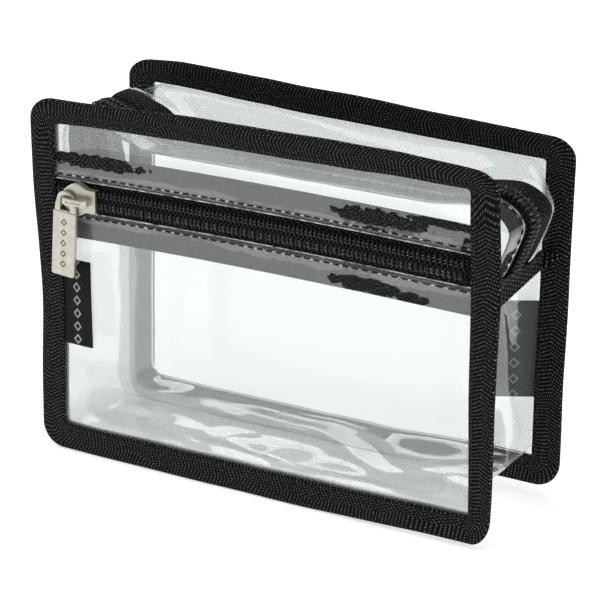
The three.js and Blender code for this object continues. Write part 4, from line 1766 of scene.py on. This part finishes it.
@dataclass
class Hardware:
    """Both sliders and their pulls: the CAD castings, plated, and the pulls' stamped pattern."""

    parts: tuple[str, ...] = ("slider_body", "slider_crown", "slider_spring", "pull")
    marks: int = 5
    mark_pitch: float = 4.3
    first_mark: float = 9.3  # from the hinge's axis to the first lozenge's middle
    outer: float = 1.45
    inner: float = 0.85
    sunk: float = -0.25
    proud: float = 0.03

    def plate(self) -> None:
        """Give every casting its nickel finish."""
        for zip_name in ("front", "main"):
            for part in self.parts:
                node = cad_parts[f"{zip_name}_{part}"]
                node.data.materials.clear()
                node.data.materials.append(NICKEL.material())

    def stamp(
        self, name: str, body: str, place: Callable[[np.ndarray, np.ndarray, float], Points]
    ) -> None:
        """A column of dark-filled lozenge outlines down the middle of a pull.

        Args:
            name: the piece's name.
            body: the pull's body.
            place: from along the pull, across it and out of it to the bag's frame.
        """
        points, faces = [], []
        for k in range(self.marks):
            centre = self.first_mark + k * self.mark_pitch
            for size in (self.outer, self.inner):
                corner = np.array([(size, 0), (0, size), (-size, 0), (0, -size)])
                for out in (self.sunk, self.proud):
                    points.append(place(centre + corner[:, 0], corner[:, 1], out))
            low, top, inner_low, inner_top = (k * 16 + ring * 4 for ring in range(4))
            for j in range(4):
                n = (j + 1) % 4
                faces.append((top + j, top + n, inner_top + n, inner_top + j))
                faces.append((low + n, low + j, inner_low + j, inner_low + n))
                faces.append((low + j, low + n, top + n, top + j))
                faces.append((inner_low + n, inner_low + j, inner_top + j, inner_top + n))
        piece = make_piece(name, np.concatenate(points), faces, [DARK_FILL], smooth=False)
        fit_to_body(piece, body, "satin_nickel")

    def build(self) -> None:
        """Plate the castings and stamp both pulls."""
        self.plate()
        tilt = math.radians(4)
        hinge = np.array([-81.5, -30.25 - 6.3, FRONT_ZIP_HEIGHT])
        down = np.array([-math.sin(tilt), 0, -math.cos(tilt)])
        right = np.array([math.cos(tilt), 0, -math.sin(tilt)])
        top_hinge = np.array([-49.5 + 5.3, 2.604, 125 - 0.45 + 6.3])

        def hanging(along: np.ndarray, across: np.ndarray, out: float) -> Points:
            """Down the front pull, to its right, and towards the front."""
            return hinge + np.outer(along, down) + np.outer(across, right) - np.array([0, out, 0])

        def lying(along: np.ndarray, across: np.ndarray, out: float) -> Points:
            """Along the top pull to the right, to the front, and up."""
            return top_hinge + np.stack([along, -across, np.full_like(along, out)], axis=1)

        self.stamp("front_pull_pattern", "front_pull", hanging)
        self.stamp("main_pull_pattern", "main_pull", lying)


@dataclass
class Trim:
    """The ribbons over the ends of the main zip, and the two labels."""

    strap_low: float = 87.6
    strap_high: float = 97.0
    strap_thick: float = 0.9
    strap_face: float = 88.9
    strap_length: float = 63.0
    strap_turn: float = 0.87  # share of its length where it turns onto the back binding
    strap_askew: float = 6.0
    label_thick: float = 0.35
    side_label_seam: float = -88.5
    inner_label_seam: float = 87.3

    def build_strap(self, side: int) -> None:
        """A ribbon across the side gusset, over the end of the zip gusset.

        It runs from the front binding to the back one. The right one hangs askew, and its end
        climbs onto the back binding.

        Args:
            side: -1 for the left ribbon, 1 for the right one.
        """
        share, level = np.meshgrid(np.linspace(0, 1, 70), np.linspace(0, 1, 9), indexing="ij")
        crossed = np.clip(share / self.strap_turn, 0, 1)
        past = np.clip((share - self.strap_turn) / (1 - self.strap_turn), 0, 1)
        depth = -28.0 + 55.3 * crossed + 0.6 * past
        askew = self.strap_askew * (1 - crossed) if side > 0 else 0.0
        low = self.strap_low - askew + 2.2 * share + 5.2 * past**1.2
        height = low + (self.strap_high - 0.5 * past - low) * level
        rise = np.clip(height - BAG.split, 0, 6) * 0.5 * ramp(np.abs(depth), 27, 15)
        x = self.strap_face + self.strap_thick / 2 + rise + 7.5 * past
        x = x + 0.25 * ripples(np.stack([x, depth, height], -1), 9.0, 5.5 + side)
        grid = BAG.stand(np.stack([side * x, depth, height], axis=-1))
        points, faces, _ = sheet_mesh(grid, self.strap_thick)
        uv = pattern(share * self.strap_length, height)
        end = "right" if side > 0 else "left"
        piece = make_piece(f"zip_end_ribbon_{end}", points, faces, [RIBBON], uv=uv)
        fit_to_body(piece, "bag", "webbing", f"zip_end_strap_{end}")

    def build_side_label(self) -> None:
        """The folded label in the front left seam."""
        x, z = np.meshgrid(np.linspace(-92, -73.8, 28), np.linspace(46, 81.5, 40), indexing="ij")
        lift = ramp(x, -89, -77)
        y = -31.02 - 0.6 * lift - 0.15 * np.sin(z / 9.0) * lift
        grid = BAG.stand(np.stack([x, y, z], axis=-1))
        points, faces, _ = sheet_mesh(grid, self.label_thick)
        uv = pattern(x - self.side_label_seam, z)
        piece = make_piece("side_label_woven", points, faces, [SIDE_LABEL_WEAVE], uv=uv)
        fit_to_body(piece, "bag", "woven_label", "side_label")

    def build_inner_label(self) -> None:
        """The label inside the bag, standing off the back panel at the right seam."""
        turn = math.radians(30)
        s, z = np.meshgrid(np.linspace(-6, 15.5, 30), np.linspace(37.5, 76, 40), indexing="ij")
        out = np.clip(s, 0, None)
        x = self.inner_label_seam - np.where(s < 0, s, out * math.cos(turn))
        y = 29.97 - out * math.sin(turn) + 0.5 * np.sin(z / 12.0) * ramp(out, 0, 12)
        grid = np.stack([x, y + BAG.lean * z / BAG.height, z], axis=-1)
        points, faces, _ = sheet_mesh(grid, self.label_thick)
        uv = pattern(s, z)
        piece = make_piece("inner_label_woven", points, faces, [INNER_LABEL_WEAVE], uv=uv)
        fit_to_body(piece, "bag", "woven_label", "inner_label")

    def build(self) -> None:
        """Make both ribbons and both labels."""
        self.build_strap(-1)
        self.build_strap(1)
        self.build_side_label()
        self.build_inner_label()


# Each soft box: its name, its place, its width and height in metres, and its watts.
SOFT_BOXES = (
    ("top_box", (0.1, 0.1, 1.9), (1.8, 1.8), 14),
    ("left_box", (-1.7, -0.7, 0.9), (1.2, 1.6), 16),
    ("right_box", (1.8, -0.6, 0.8), (1.0, 1.4), 12),
    ("rear_box", (-0.8, 1.35, 1.15), (1.0, 0.6), 9),
)


@dataclass
class Studio:
    """The pale floor, the soft lights and the camera.

    The camera looks at the target, turned to the bag's right by the azimuth and raised by
    the elevation, both in degrees. The floor's size is in metres.
    """

    lens: float = 160.9
    azimuth: float = 31.23
    elevation: float = 19.73
    distance: float = 1032.0
    target: tuple[float, float, float] = (2.2, 0.0, 70.6)
    floor_size: float = 40.0
    room_strength: float = 0.14

    def build_floor(self) -> None:
        """A wide glowing table top, just under the bag."""
        half = self.floor_size / MM / 2
        corners = ((-1, -1), (1, -1), (1, 1), (-1, 1))
        points = np.array([(x * half, y * half, -0.05) for x, y in corners])
        make_piece("table_top", points, [(0, 1, 2, 3)], [TABLE], smooth=False)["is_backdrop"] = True

    def add_light(
        self, name: str, place: Sequence[float], size: Sequence[float], watts: float
    ) -> None:
        """Add a soft box that faces the bag.

        Args:
            name: the light's name.
            place: where it stands, in metres.
            size: its width and height, in metres.
            watts: its power.
        """
        data = bpy.data.lights.new(name, "AREA")
        data.shape = "RECTANGLE"
        data.size, data.size_y = size
        data.energy = watts
        lamp = bpy.data.objects.new(name, data)
        lamp.location = place
        aim = Vector((0, 0, 0.07)) - lamp.location
        lamp.rotation_euler = aim.to_track_quat("-Z", "Y").to_euler()
        bpy.context.scene.collection.objects.link(lamp)

    def build_light(self) -> None:
        """Soft boxes above, behind and to both sides, in a pale room."""
        for box in SOFT_BOXES:
            self.add_light(*box)
        world = bpy.data.worlds.new("pale_room")
        world.use_nodes = True
        world.node_tree.nodes.clear()
        room = {"Color": (1, 1, 1, 1), "Strength": self.room_strength}
        glow = add_node(world.node_tree, "Background", room)
        add_node(world.node_tree, "OutputWorld", {"Surface": glow})
        bpy.context.scene.world = world

    def build_camera(self) -> None:
        """A long lens, a little above the bag and to its right."""
        a, e = math.radians(self.azimuth), math.radians(self.elevation)
        back = Vector((math.sin(a) * math.cos(e), -math.cos(a) * math.cos(e), math.sin(e)))
        aim = Vector(in_row(np.array(self.target)).tolist())
        data = bpy.data.cameras.new("studio_camera")
        data.lens = self.lens
        data.clip_start, data.clip_end = 0.05, 60.0
        camera = bpy.data.objects.new("studio_camera", data)
        camera.location = aim + back * self.distance * MM
        camera.rotation_euler = (-back).to_track_quat("-Z", "Y").to_euler()
        bpy.context.scene.collection.objects.link(camera)
        bpy.context.scene.camera = camera

    def build(self) -> None:
        """Make the floor, lights and camera, and let light through many layers of film."""
        self.build_floor()
        self.build_light()
        self.build_camera()
        scene = bpy.context.scene
        scene.view_settings.view_transform = "Standard"
        scene.cycles.transparent_max_bounces = 32


def write_sizes() -> None:
    """Work out the CAD model's box and the visual model's box."""
    boxes = {"cad": CAD_BOX, "visual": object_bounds()}
    plain = {name: [list(corner) for corner in box] for name, box in boxes.items()}


def main() -> None:
    """Build the whole bag."""
    logging.basicConfig(level=logging.INFO, format="%(name)s: %(message)s")
    Studio().build()
    Binding(Face.FRONT, outer=-31.75, inner=-28.25).build()
    Binding(Face.BACK, outer=31.3, inner=28.7).build()
    ClearWalls().build()
    Gussets().build()
    front_zip().build()
    main_zip().build()
    Hardware().build()
    Trim().build()
    write_sizes()


if __name__ == "__main__":
    main()
